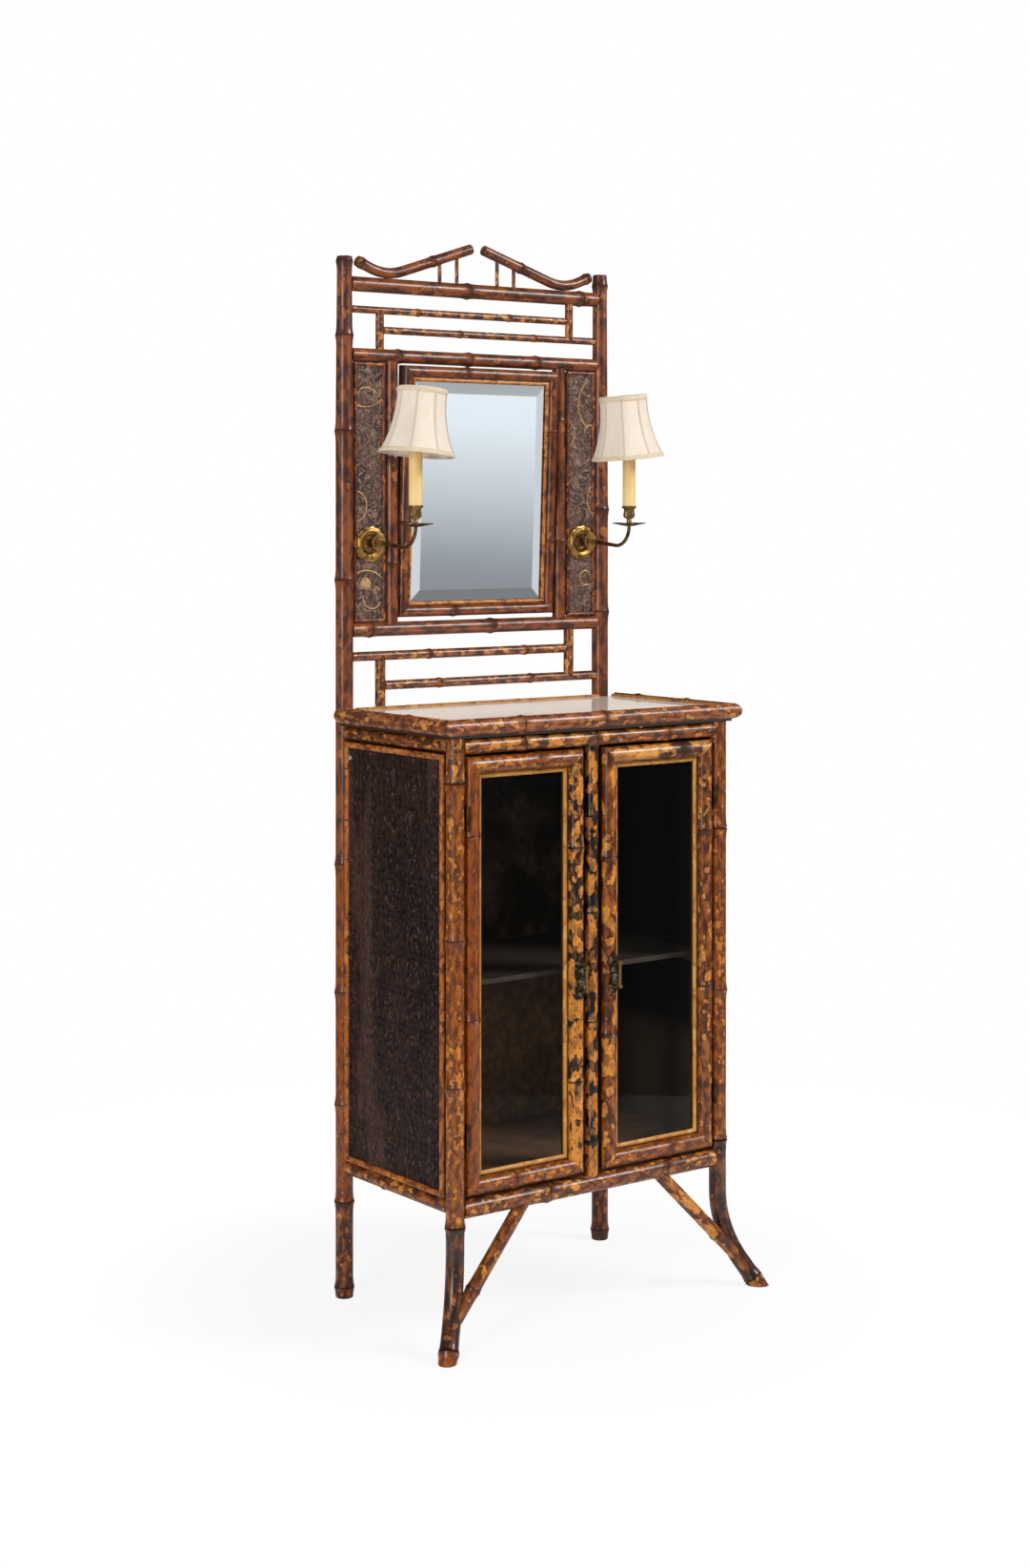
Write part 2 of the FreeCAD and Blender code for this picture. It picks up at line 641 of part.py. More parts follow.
def table_top():
    """Board notched round the rear posts, bamboo nosing and cane beads."""
    board = cleared(block(
        Vector(-BOARD_X, BOARD_FRONT, BOARD_BOTTOM), Vector(BOARD_X, BOARD_REAR, BOARD_TOP)), [REAR_Y])
    for side in SIDES.values():
        xs = sorted((side * HALF_X, side * 2 * HALF_X))
        ear = block(Vector(xs[0], NOTCH_Y, BOARD_BOTTOM), Vector(xs[1], 2 * DEPTH, BOARD_TOP))
        board = board.cut(ear)

    out = NOSING_R
    level = Vector(0, 0, NOSING_Z)
    inner = [Vector(-BOARD_X, NOTCH_Y), Vector(-BOARD_X, BOARD_FRONT),
             Vector(BOARD_X, BOARD_FRONT), Vector(BOARD_X, NOTCH_Y)]
    outer = [Vector(-BOARD_X - out, NOTCH_Y), Vector(-BOARD_X - out, BOARD_FRONT - out),
             Vector(BOARD_X + out, BOARD_FRONT - out), Vector(BOARD_X + out, NOTCH_Y)]
    nosing = []
    for index, joints in enumerate(((0.16, 0.62), (0.246, 0.515), (0.4, 0.8))):
        start, end = inner[index], inner[index + 1]
        stretch = (end - start).normalize() * out
        cane = pole(start - stretch + level, end + stretch + level, NOSING_R, joints)
        plan = face_of([start, end, outer[index + 1], outer[index]])
        plan.translate(level - UP * 2 * NOSING_R)
        nosing.append(cane.common(plan.extrude(UP * 4 * NOSING_R)))

    front_left, front_right = Vector(-BOARD_X, BOARD_FRONT), Vector(BOARD_X, BOARD_FRONT)
    rear_left, rear_right = Vector(-BOARD_X, NOTCH_Y), Vector(BOARD_X, NOTCH_Y)
    beads = [
        moulding(front_left, front_right, TOP_BEAD, (True, True)),
        moulding(front_right, rear_right, TOP_BEAD, (True, False)),
        moulding(rear_left, front_left, TOP_BEAD, (False, True)),
        moulding(Vector(HALF_X, REAR_BEAD_Y), Vector(-HALF_X, REAR_BEAD_Y), TOP_BEAD, (False, False)),
    ]
    for bead in beads:
        bead.translate(UP * BOARD_TOP)
    beads[-1] = cleared(beads[-1])
    return {"top_board": board, "top_nosing": grouped(nosing), "top_beads": grouped(beads)}


def gallery_rails():
    """Crest rail and the two cross rails between the rear posts."""
    def rail(height, radius, joints):
        start, end = Vector(-HALF_X, REAR_Y, height), Vector(HALF_X, REAR_Y, height)
        post_r = post_radius(height)
        return pegged_rail(start, end, radius, joints, (post_r, post_r))

    return {
        "crest_rail": rail(CREST_Z, CREST_R, (0.46, 0.93)),
        "upper_cross_rail": rail(UPPER_CROSS_Z, UPPER_CROSS_R, (0.182, 0.465, 0.744)),
        "lower_cross_rail": rail(LOWER_CROSS_Z, LOWER_CROSS_R, (0.071, 0.555)),
    }


def fret(high, low, rail_r, upright_x, upright_r, floor, ceiling, joints):
    """Stepped fret: two rails and two uprights between a floor and a ceiling."""
    reach = post_radius(high) + FIT
    low_reach = post_radius(low) + FIT
    upright_room = upright_r + FIT
    spans = (
        (Vector(-HALF_X + reach, REAR_Y, high), Vector(upright_x - upright_room, REAR_Y, high), rail_r),
        (Vector(-upright_x + upright_room, REAR_Y, low), Vector(HALF_X - low_reach, REAR_Y, low), rail_r),
        (Vector(-upright_x, REAR_Y, floor), Vector(-upright_x, REAR_Y, high - rail_r - FIT), upright_r),
        (Vector(upright_x, REAR_Y, low + rail_r + FIT), Vector(upright_x, REAR_Y, ceiling), upright_r),
    )
    return grouped(pole(start, end, radius, rings) for (start, end, radius), rings in zip(spans, joints))


def frets():
    """Frets above the mirror and above the table top."""
    return {
        "upper_fret": fret(
            UPPER_FRET_HIGH, UPPER_FRET_LOW, UPPER_FRET_R, UPPER_UPRIGHT_X, UPPER_UPRIGHT_R,
            UPPER_CROSS_Z + UPPER_CROSS_R + FIT, CREST_Z - CREST_R - FIT,
            ((0.3, 0.72), (0.35, 0.7), (), ())),
        "lower_fret": fret(
            LOWER_FRET_HIGH, LOWER_FRET_LOW, LOWER_FRET_R, LOWER_UPRIGHT_X, LOWER_UPRIGHT_R,
            BOARD_TOP, LOWER_CROSS_Z - LOWER_CROSS_R - FIT,
            ((0.35, 0.8), (0.25, 0.68), (), ())),
    }


def scroll_points(side):
    """Ends of one crest scroll's straight runs, and the ends and middle of its bend."""
    inner = math.radians(SCROLL_INNER_SLOPE)
    outer = math.radians(SCROLL_OUTER_SLOPE)
    drop = SCROLL_INNER_Z - SCROLL_LOW_Z - SCROLL_BEND_R * (1 - math.cos(inner))
    inner_run = drop / math.tan(inner)
    inner_end = Vector(SCROLL_INNER_X + inner_run, 0, SCROLL_INNER_Z - drop)
    low_x = inner_end.x + SCROLL_BEND_R * math.sin(inner)
    outer_start = Vector(low_x + SCROLL_BEND_R * math.sin(outer), 0,
                         SCROLL_LOW_Z + SCROLL_BEND_R * (1 - math.cos(outer)))
    rise = (SCROLL_OUTER_X - outer_start.x) * math.tan(outer)
    tip = Vector(SCROLL_OUTER_X, 0, outer_start.z + rise)
    points = [Vector(SCROLL_INNER_X, 0, SCROLL_INNER_Z), inner_end, outer_start, tip]
    return [Vector(side * point.x, REAR_Y, point.z) for point in points]


def crest_scrolls():
    """Bent canes on the crest rail, and the spindles under their raised ends."""
    scrolls, spindles = [], []
    for side in SIDES.values():
        inner_tip, inner_end, outer_start, outer_tip = scroll_points(side)
        turn = SCROLL_INNER_SLOPE + SCROLL_OUTER_SLOPE
        lean = math.radians(SCROLL_INNER_SLOPE)
        run = (inner_end - inner_tip).normalize()
        up = Vector(side * math.sin(lean), 0, math.cos(lean))
        section = Part.Face(Part.Wire(Part.makeCircle(SCROLL_R, inner_end, run)))
        bend = section.revolve(inner_end + up * SCROLL_BEND_R, run.cross(up), turn)
        inner_cane = pole(inner_tip, inner_end, SCROLL_R, (0.56,))
        outer_cane = pole(outer_start, outer_tip, SCROLL_R, (0.7,))
        scrolls.append(inner_cane.fuse([bend, outer_cane]).removeSplitter())
        rail_room = rod(Vector(-HALF_X, REAR_Y, CREST_Z), Vector(HALF_X, REAR_Y, CREST_Z), CREST_R + FIT)
        scroll_room = rod(inner_tip - run * SCROLL_R, inner_end, SCROLL_R + FIT)
        for x in SPINDLE_X:
            share = (x - SCROLL_INNER_X) / abs(inner_end.x - inner_tip.x)
            top = inner_tip + (inner_end - inner_tip) * share
            stick = rod(Vector(side * x, REAR_Y, CREST_Z), Vector(side * x, REAR_Y, top.z), SPINDLE_R)
            stick = stick.cut(rail_room).cut(scroll_room)
            spindles.append(max(stick.Solids, key=lambda solid: solid.Volume))
    return {"crest_scrolls": grouped(scrolls), "crest_spindles": grouped(spindles)}


def mirror_stiles():
    """Canes on each side of the mirror, bored for its pivots."""
    stiles = []
    for side, joints in ((-1, (0.23, 0.63)), (1, (0.31, 0.79))):
        start = Vector(side * STILE_X, REAR_Y, LOWER_CROSS_Z + LOWER_CROSS_R / 2)
        end = Vector(side * STILE_X, REAR_Y, UPPER_CROSS_Z - UPPER_CROSS_R / 2)
        stile = pole(start, end, STILE_R, joints)
        reach = Vector(4 * STILE_R, 0, 0)
        for height, radius in ((LOWER_CROSS_Z, LOWER_CROSS_R), (UPPER_CROSS_Z, UPPER_CROSS_R)):
            middle = Vector(side * STILE_X, REAR_Y, height)
            stile = stile.cut(rod(middle - reach, middle + reach, swollen(radius) + FIT))
        inner_x = side * (STILE_X - STILE_R)
        bore_start = Vector(inner_x - side * STILE_R, REAR_Y, MIRROR_PIVOT_Z)
        bore_end = Vector(inner_x + side * (PIVOT_DEPTH + FIT), REAR_Y, MIRROR_PIVOT_Z)
        stile = stile.cut(rod(bore_start, bore_end, PIVOT_R + PIVOT_FIT))
        stiles.append(max(stile.Solids, key=lambda solid: solid.Volume))
    return {"mirror_stiles": grouped(stiles)}


def wings():
    """Papered panels on each side of the mirror, edged with cane beads."""
    panels, beads = [], []
    for side in SIDES.values():
        low_x, high_x = sorted((side * WING_IN_X, side * WING_OUT_X))
        post = rear_post(side, FIT)
        panels.append(block(Vector(low_x, WING_FRONT, WING_BOTTOM),
                            Vector(high_x, WING_FRONT + WING_THICK, WING_TOP)).cut(post))
        for bead in moulded_frame((low_x, WING_BOTTOM), (high_x, WING_TOP), WING_BEAD):
            beads.append(stood(bead, Vector(0, WING_FRONT, 0), "front").cut(post))
    return {"wing_panels": grouped(panels), "wing_beads": grouped(beads)}


def mirror():
    """Swing mirror: tray, bevelled glass, bamboo frame, cane bead and pivot pins."""
    half_x, half_z = MIRROR_WIDTH / 2, MIRROR_HEIGHT / 2
    front = MIRROR_TRAY / 2
    edge = MIRROR_MOULD + MIRROR_BEAD - MIRROR_COVER
    pocket_x, pocket_z = half_x - edge, half_z - edge
    pocket_floor = front - MIRROR_GLASS - FIT
    pin_root = half_x - PIVOT_DEPTH

    tray = block(Vector(-half_x, -half_z, -front), Vector(half_x, half_z, front))
    tray = tray.cut(block(Vector(-pocket_x, -pocket_z, pocket_floor), Vector(pocket_x, pocket_z, front)))
    pins = []
    for side in SIDES.values():
        root = Vector(side * pin_root, 0, 0)
        tip = Vector(side * (STILE_X - STILE_R + PIVOT_DEPTH), 0, 0)
        tray = tray.cut(rod(root - Vector(side * FIT, 0, 0), tip, PIVOT_R + PIVOT_FIT))
        collar_end = Vector(side * (STILE_X - STILE_R - MOVE_GAP), 0, 0)
        collar = rod(Vector(side * (half_x + FIT), 0, 0), collar_end, PIVOT_COLLAR_R)
        pins.append(rod(root, tip, PIVOT_R).fuse(collar).removeSplitter())

    glass_x, glass_z = pocket_x - FIT, pocket_z - FIT
    glass_back = pocket_floor
    layers = (
        (glass_back, 0.0),
        (glass_back + MIRROR_GLASS - MIRROR_BEVEL_DROP, 0.0),
        (glass_back + MIRROR_GLASS, MIRROR_BEVEL),
    )
    rings = []
    for height, inset in layers:
        low, high = (-glass_x + inset, -glass_z + inset), (glass_x - inset, glass_z - inset)
        ring = [corner + UP * height for corner in corners(low, high)]
        rings.append(Part.makePolygon(ring + ring[:1]))
    glass = Part.makeLoft(rings, True, True)

    frame = moulded_frame((-half_x, -half_z), (half_x, half_z), MIRROR_MOULD,
                          ((0.35,), (0.3, 0.75), (0.6,), (0.25, 0.62)))
    bead_x, bead_z = half_x - MIRROR_MOULD, half_z - MIRROR_MOULD
    beads = moulded_frame((-bead_x, -bead_z), (bead_x, bead_z), MIRROR_BEAD)
    for strip in frame + beads:
        strip.translate(UP * front)

    pivot = Vector(0, REAR_Y, MIRROR_PIVOT_Z)
    tilt = Rotation(Vector(1, 0, 0), MIRROR_REST_TILT)
    pose = Placement(pivot, tilt.multiply(FACES["front"]))
    nodes = {
        "mirror_tray": tray,
        "mirror_glass": glass,
        "mirror_frame": grouped(frame),
        "mirror_bead": grouped(beads),
        "mirror_pivots": grouped(pins),
    }
    for shape in nodes.values():
        shape.Placement = pose.multiply(shape.Placement)
    return nodes


def pull(side):
    """Cast pull: lobed plate with a bar to grip in front of it."""
    plate = Part.makeBox(PULL_BODY_WIDTH, PULL_BODY_HEIGHT, PULL_PLATE,
                         Vector(-PULL_BODY_WIDTH / 2, -PULL_BODY_HEIGHT / 2, 0))
    pieces = []
    for end in (-1, 1):
        pieces.append(Part.makeCylinder(PULL_LOBE_R, PULL_PLATE, Vector(0, end * PULL_LOBE_OUT, 0)))
        pieces.append(Part.makeCylinder(PULL_TIP_R, PULL_PLATE, Vector(0, end * PULL_TIP_OUT, 0)))
        foot = Vector(0, end * PULL_LOBE_OUT, 0)
        pieces.append(rod(foot, foot + UP * (PULL_REACH + PULL_ARM_R), PULL_ARM_R))
    bar_end = Vector(0, PULL_LOBE_OUT, PULL_REACH)
    pieces.append(rod(Vector(0, -PULL_LOBE_OUT, PULL_REACH), bar_end, PULL_BAR_R))
    handle = plate.fuse(pieces).removeSplitter()
    return stood(handle, Vector(side * PULL_X, PULL_BACK_Y, PULL_Z), "front")


def hinge_leaf(side, moving, height):
    """One half of a butt hinge; the fixed half holds the pin."""
    third = HINGE_LENGTH / 3
    base = Vector(side * HINGE_X, HINGE_AXIS_Y, height - HINGE_LENGTH / 2)
    plate_face = DOOR_OUT_X if moving else HALF_X - POST_R
    inward = 1 if moving else -1
    xs = sorted((side * plate_face, side * (plate_face + inward * HINGE_LEAF)))
    plate = block(Vector(xs[0], HINGE_AXIS_Y, base.z),
                  Vector(xs[1], HINGE_AXIS_Y + HINGE_LEAF_WIDTH, base.z + HINGE_LENGTH))
    room = Part.makeCylinder(HINGE_KNUCKLE_R + FIT, HINGE_LENGTH, base, UP)
    middle = base + UP * third
    knuckle_gap = 0 if moving else MOVE_GAP
    middle_room = Part.makeCylinder(HINGE_KNUCKLE_R + MOVE_GAP, third + 2 * knuckle_gap,
                                    middle - UP * knuckle_gap, UP)
    if moving:
        barrel = Part.makeCylinder(HINGE_KNUCKLE_R, third, middle, UP)
        leaf = plate.cut(room.cut(middle_room)).fuse(barrel)
        bore = Part.makeCylinder(HINGE_PIN_R + PIVOT_FIT, HINGE_LENGTH, base, UP)
        leaf = leaf.cut(bore)
    else:
        ends = Part.makeCylinder(HINGE_KNUCKLE_R, HINGE_LENGTH, base, UP).cut(middle_room)
        pin = Part.makeCylinder(HINGE_PIN_R, HINGE_LENGTH, base, UP)
        leaf = plate.cut(middle_room).fuse([ends, pin])
    return leaf.removeSplitter()


def doors():
    """Glazed doors: rebated softwood frame, bamboo face, cane bead, glass, pull and hinges."""
    nodes = {}
    face_joints = {
        "left": ((0.4,), (0.22, 0.77), (0.38,), (0.18, 0.6)),
        "right": ((0.6,), (0.4, 0.78), (0.3,), (0.26, 0.68)),
    }
    lip_front = -(DOOR_WOOD - DOOR_LIP_THICK)
    full = DOOR_STILE + DOOR_LIP
    section = ((0, 0), (DOOR_STILE, 0), (DOOR_STILE, lip_front), (full, lip_front),
               (full, -DOOR_WOOD), (0, -DOOR_WOOD))
    fixed_leaves = []
    for name, side in SIDES.items():
        low_x, high_x = sorted((side * DOOR_IN_X, side * DOOR_OUT_X))
        low, high = (low_x, DOOR_BOTTOM), (high_x, DOOR_TOP)
        wood = mitred_bars(low, high, section)
        face = moulded_frame(low, high, DOOR_STILE, face_joints[name])
        rebate = DOOR_STILE + FIT
        pane_low = Vector(low_x + rebate, DOOR_BOTTOM + rebate, lip_front)
        pane_high = Vector(high_x - rebate, DOOR_TOP - rebate, lip_front + GLASS_THICK)
        beads = moulded_frame((pane_low.x, pane_low.y), (pane_high.x, pane_high.y), DOOR_BEAD)
        for bead in beads:
            bead.translate(UP * pane_high.z)
        pane = block(pane_low, pane_high)
        origin = Vector(0, FRONT_Y, 0)
        for shape in wood + face + beads + [pane]:
            shape.Placement = Placement(origin, FACES["front"]).multiply(shape.Placement)
        nodes[name + "_door_frame"] = grouped(wood)
        nodes[name + "_door_bamboo"] = grouped(face)
        nodes[name + "_door_beads"] = grouped(beads)
        nodes[name + "_door_glass"] = pane
        nodes[name + "_door_pull"] = pull(side)
        nodes[name + "_door_hinges"] = grouped(hinge_leaf(side, True, z) for z in HINGE_HEIGHTS)
        fixed_leaves += [hinge_leaf(side, False, z) for z in HINGE_HEIGHTS]
    nodes["post_hinge_leaves"] = grouped(fixed_leaves)
    return nodes


def sconce_plate(side):
    """Scalloped back plate with a raised ring and a dome."""
    flange = lobed_disc(PLATE_LOBES, PLATE_ROOT_R, PLATE_R, PLATE_THICK)
    ring_wide = PLATE_RING_HEIGHT - PLATE_THICK
    raised = revolved([
        (0, 0),
        (PLATE_RING_R + ring_wide, 0),
        (PLATE_RING_R + ring_wide, PLATE_THICK),
        (PLATE_RING_R, PLATE_RING_HEIGHT),
        (PLATE_RING_R - ring_wide, PLATE_THICK),
        (PLATE_DOME_R, PLATE_THICK),
        (0.85 * PLATE_DOME_R, 0.6 * PLATE_DOME_HEIGHT),
        (0.5 * PLATE_DOME_R, 0.92 * PLATE_DOME_HEIGHT),
        (0, PLATE_DOME_HEIGHT),
    ])
    plate = flange.fuse(raised).removeSplitter()
    return stood(plate, Vector(side * SCONCE_X, PLATE_BACK, SCONCE_Z), "front")


def sconce_arm(side):
    """Arm that droops a little from the plate, then bends up under the candle."""
    droop = math.radians(ARM_DROOP)
    bend_y = CANDLE_Y + ARM_BEND_R * (1 + math.sin(droop))
    bend_start = Vector(side * SCONCE_X, bend_y, ARM_TOP - ARM_BEND_R * math.cos(droop))
    forward = Vector(0, -math.cos(droop), -math.sin(droop))
    rise = Vector(0, -math.sin(droop), math.cos(droop))
    root_y = PLATE_BACK - PLATE_DOME_HEIGHT
    length = (root_y - bend_y) / math.cos(droop)
    root = bend_start - forward * length
    taper = Part.makeCone(ARM_ROOT_R, ARM_R, length, root, forward)
    section = Part.Face(Part.Wire(Part.makeCircle(ARM_R, bend_start, forward)))
    bend = section.revolve(bend_start + rise * ARM_BEND_R, forward.cross(rise), 90 + ARM_DROOP)
    petal = revolved([
        (0, 0),
        (ARM_ROOT_R + PETAL_WALL, 0),
        (PETAL_R, PETAL_LENGTH),
        (PETAL_R - PETAL_WALL, PETAL_LENGTH),
        (0, PETAL_WALL * 2),
    ])
    along(petal, root, bend_start)
    foot = Part.makeCylinder(ARM_ROOT_R + PETAL_WALL, PLATE_DOME_HEIGHT, root, forward * -1)
    dome_room = block(Vector(-POST_SPACING_X, root_y, 0), Vector(POST_SPACING_X, root_y + DEPTH, POST_HEIGHT))
    return taper.fuse([bend, petal, foot]).cut(dome_room).removeSplitter()


def sconce_cups(side):
    """Drip pan, candle cup, sleeve and lampholder, stacked on the arm."""
    axis = Vector(side * SCONCE_X, CANDLE_Y, 0)
    dish = revolved([
        (0, 0),
        (PAN_HUB_R, 0),
        (PAN_R + PAN_WALL, PAN_RIM_RISE),
        (PAN_R + PAN_WALL, PAN_RIM_RISE + PAN_WALL),
        (PAN_HUB_R, PAN_WALL * 2),
        (PAN_HUB_R, PAN_HUB_HEIGHT),
        (0, PAN_HUB_HEIGHT),
    ])
    pan = dish.common(lobed_disc(PAN_LOBES, PAN_ROOT_R, PAN_R, PAN_HUB_HEIGHT + PAN_RIM_RISE))
    cup = revolved([
        (0, 0),
        (CUP_STEM_R, 0),
        (CUP_STEM_R, 0.2 * CUP_HEIGHT),
        (CUP_BELLY_R, 0.42 * CUP_HEIGHT),
        (CUP_WAIST_R, 0.78 * CUP_HEIGHT),
        (CUP_LIP_R, 0.92 * CUP_HEIGHT),
        (CUP_LIP_R, CUP_HEIGHT),
        (SLEEVE_R + FIT, CUP_HEIGHT),
        (SLEEVE_R + FIT, CUP_HEIGHT - CUP_SEAT),
        (0, CUP_HEIGHT - CUP_SEAT),
    ])
    sleeve = Part.makeCylinder(SLEEVE_R, SLEEVE_LENGTH)
    sleeve = sleeve.cut(Part.makeCylinder(SLEEVE_R - SLEEVE_WALL, SLEEVE_LENGTH))
    holder = revolved([
        (0, 0),
        (HOLDER_R, 0),
        (HOLDER_R, HOLDER_TOP - SLEEVE_BOTTOM),
        (HOLDER_RECESS_R, HOLDER_TOP - SLEEVE_BOTTOM),
        (HOLDER_RECESS_R, LAMP_Z - SLEEVE_BOTTOM),
        (0, LAMP_Z - SLEEVE_BOTTOM),
    ])
    stack = ((pan, ARM_TOP), (cup, CUP_BOTTOM), (sleeve, SLEEVE_BOTTOM), (holder, SLEEVE_BOTTOM))
    for shape, height in stack:
        shape.translate(axis + UP * height)
    return [shape for shape, _ in stack]


def leaned(shape, side):
    """Move a shape drawn on the lamp axis onto a sconce, leaning towards the mirror."""
    lean = Rotation(Vector(0, 1, 0), -side * SHADE_LEAN)
    shape.Placement = Placement(Vector(side * SCONCE_X, CANDLE_Y, LAMP_Z), lean)
    return shape


def bulb():
    """Candle bulb on its cap, standing on the lamp axis."""
    lift = BULB_CAP_R * math.sin(math.radians(SHADE_LEAN)) + FIT
    return revolved([
        (0, lift),
        (BULB_CAP_R, lift),
        (BULB_CAP_R, BULB_CAP),
        (0.82 * BULB_R, BULB_CAP + 0.45 * BULB_BELLY),
        (BULB_R, CLIP_Z),
        (0.84 * BULB_R, CLIP_Z + 0.4 * (BULB_GLASS - BULB_BELLY)),
        (0.36 * BULB_R, CLIP_Z + 0.82 * (BULB_GLASS - BULB_BELLY)),
        (0, BULB_CAP + BULB_GLASS),
    ])


def bell_profile(inset):
    """Side line of the shade along a rib, set in by a distance, as (radius, height) pairs."""
    bottom = Vector(SHADE_BOTTOM_R, 0, SHADE_BOTTOM)
    waist = Vector(SHADE_WAIST_R, 0, SHADE_BOTTOM + SHADE_WAIST * SHADE_HEIGHT)
    top = Vector(SHADE_TOP_R, 0, SHADE_BOTTOM + SHADE_HEIGHT)
    arc = Part.Arc(bottom, waist, top).toShape()
    return [(point.x - inset, point.z) for point in arc.discretize(SHADE_STEPS + 1)]


def panelled(radius, height):
    """Closed outline with a corner at each rib of the shade."""
    turns = [2 * math.pi * rib / SHADE_RIBS for rib in range(SHADE_RIBS + 1)]
    return Part.makePolygon([Vector(radius * math.cos(a), radius * math.sin(a), height) for a in turns])


def bell(inset):
    """Solid bell with one flat-sided panel between each pair of ribs."""
    return Part.makeLoft([panelled(radius, height) for radius, height in bell_profile(inset)], True, True)


def shade():
    """Cloth stretched in panels over the ribs, with a tape round each rim."""
    tapes = []
    for low in (SHADE_BOTTOM, SHADE_BOTTOM + SHADE_HEIGHT - SHADE_TAPE):
        band = Part.makeCylinder(2 * SHADE_BOTTOM_R, SHADE_TAPE, Vector(0, 0, low))
        tapes.append(bell(-SHADE_TAPE_THICK).common(band))
    return bell(0.0).fuse(tapes).cut(bell(SHADE_CLOTH)).removeSplitter()


def hoop(radius, height):
    """Flat-sided ring of square wire, lying flat."""
    ring = Part.Face(panelled(radius + SHADE_WIRE / 2, height - SHADE_WIRE / 2))
    hole = Part.Face(panelled(radius - SHADE_WIRE / 2, height - SHADE_WIRE / 2))
    return ring.cut(hole).extrude(UP * SHADE_WIRE)


def strut(start, end):
    """Straight length of square wire."""
    corner = Vector(-SHADE_WIRE / 2, -SHADE_WIRE / 2, 0)
    return along(Part.makeBox(SHADE_WIRE, SHADE_WIRE, (end - start).Length, corner), start, end)


def shade_frame():
    """Frame of a shade: two rims, ribs, and a clip with two loops round the bulb."""
    cloth = SHADE_CLOTH + SHADE_WIRE / 2 * math.tan(math.pi / SHADE_RIBS) + FIT
    outer, inner = bell_profile(cloth), bell_profile(cloth + SHADE_WIRE)
    side = [Vector(radius, -SHADE_WIRE / 2, height) for radius, height in outer + inner[::-1]]
    rib = face_of(side).extrude(Vector(0, SHADE_WIRE, 0))
    pieces = []
    for index in range(SHADE_RIBS):
        turned = rib.copy()
        turned.rotate(Vector(), UP, 360 * index / SHADE_RIBS)
        pieces.append(turned)
    middle = bell_profile(cloth + SHADE_WIRE / 2)
    (low_r, low), (high_r, high) = middle[0], middle[-1]
    pieces.append(hoop(high_r, high - SHADE_WIRE / 2))
    for end in (-1, 1):
        grip = Vector(end * (CLIP_SEAT * BULB_R + SHADE_WIRE / 2 + MOVE_GAP), 0, CLIP_Z)
        pieces.append(along(hoop(CLIP_R, 0), grip, grip + Vector(1, 0, 0)))
        for turn in (-1, 1):
            angle = math.radians(turn * 360 / SHADE_RIBS)
            rim = Vector(end * high_r * math.cos(angle), high_r * math.sin(angle), high - SHADE_WIRE)
            pieces.append(strut(grip + UP * CLIP_R, rim))
    pieces.append(hoop(low_r - SHADE_WIRE / 2, low + SHADE_WIRE / 2))
    return pieces[0].fuse(pieces[1:]).removeSplitter()


def sconces():
    """Two candle sconces with bulbs and clip-on shades."""
    stacks = [sconce_cups(side) for side in SIDES.values()]
    nodes = {
        "sconce_backplates": grouped(sconce_plate(side) for side in SIDES.values()),
        "sconce_arms": grouped(sconce_arm(side) for side in SIDES.values()),
        "bulbs": grouped(leaned(bulb(), side) for side in SIDES.values()),
    }
    for index, name in enumerate(("drip_pans", "candle_cups", "candle_sleeves", "lampholders")):
        nodes[name] = grouped(stack[index] for stack in stacks)
    for name, side in SIDES.items():
        nodes[name + "_shade"] = leaned(shade(), side)
        nodes[name + "_shade_frame"] = leaned(shade_frame(), side)
    return nodes


def build():
    """All nodes by name."""
    nodes = {}
    for make in (rear_posts, front_legs, leg_braces, base_rails, carcass_boards, centre_post,
                 table_top, gallery_rails, frets, crest_scrolls, mirror_stiles, wings, mirror,
                 doors, sconces):
        nodes.update(make())
    return {name: shape.Solids[0] if len(shape.Solids) == 1 else shape for name, shape in nodes.items()}


if __name__ == "__main__":
    os.makedirs("parts", exist_ok=True)
    for node, shape in build().items():
        shape.exportStep(f"parts/{node}.step")
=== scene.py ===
"""Looks of a bamboo hall cabinet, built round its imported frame.

Metres. +X is the viewer's right, -Y is the front, +Z is up, as in the frame.
"""
import json
import math
from collections import namedtuple

import bmesh
import bpy
from mathutils import Matrix, Vector

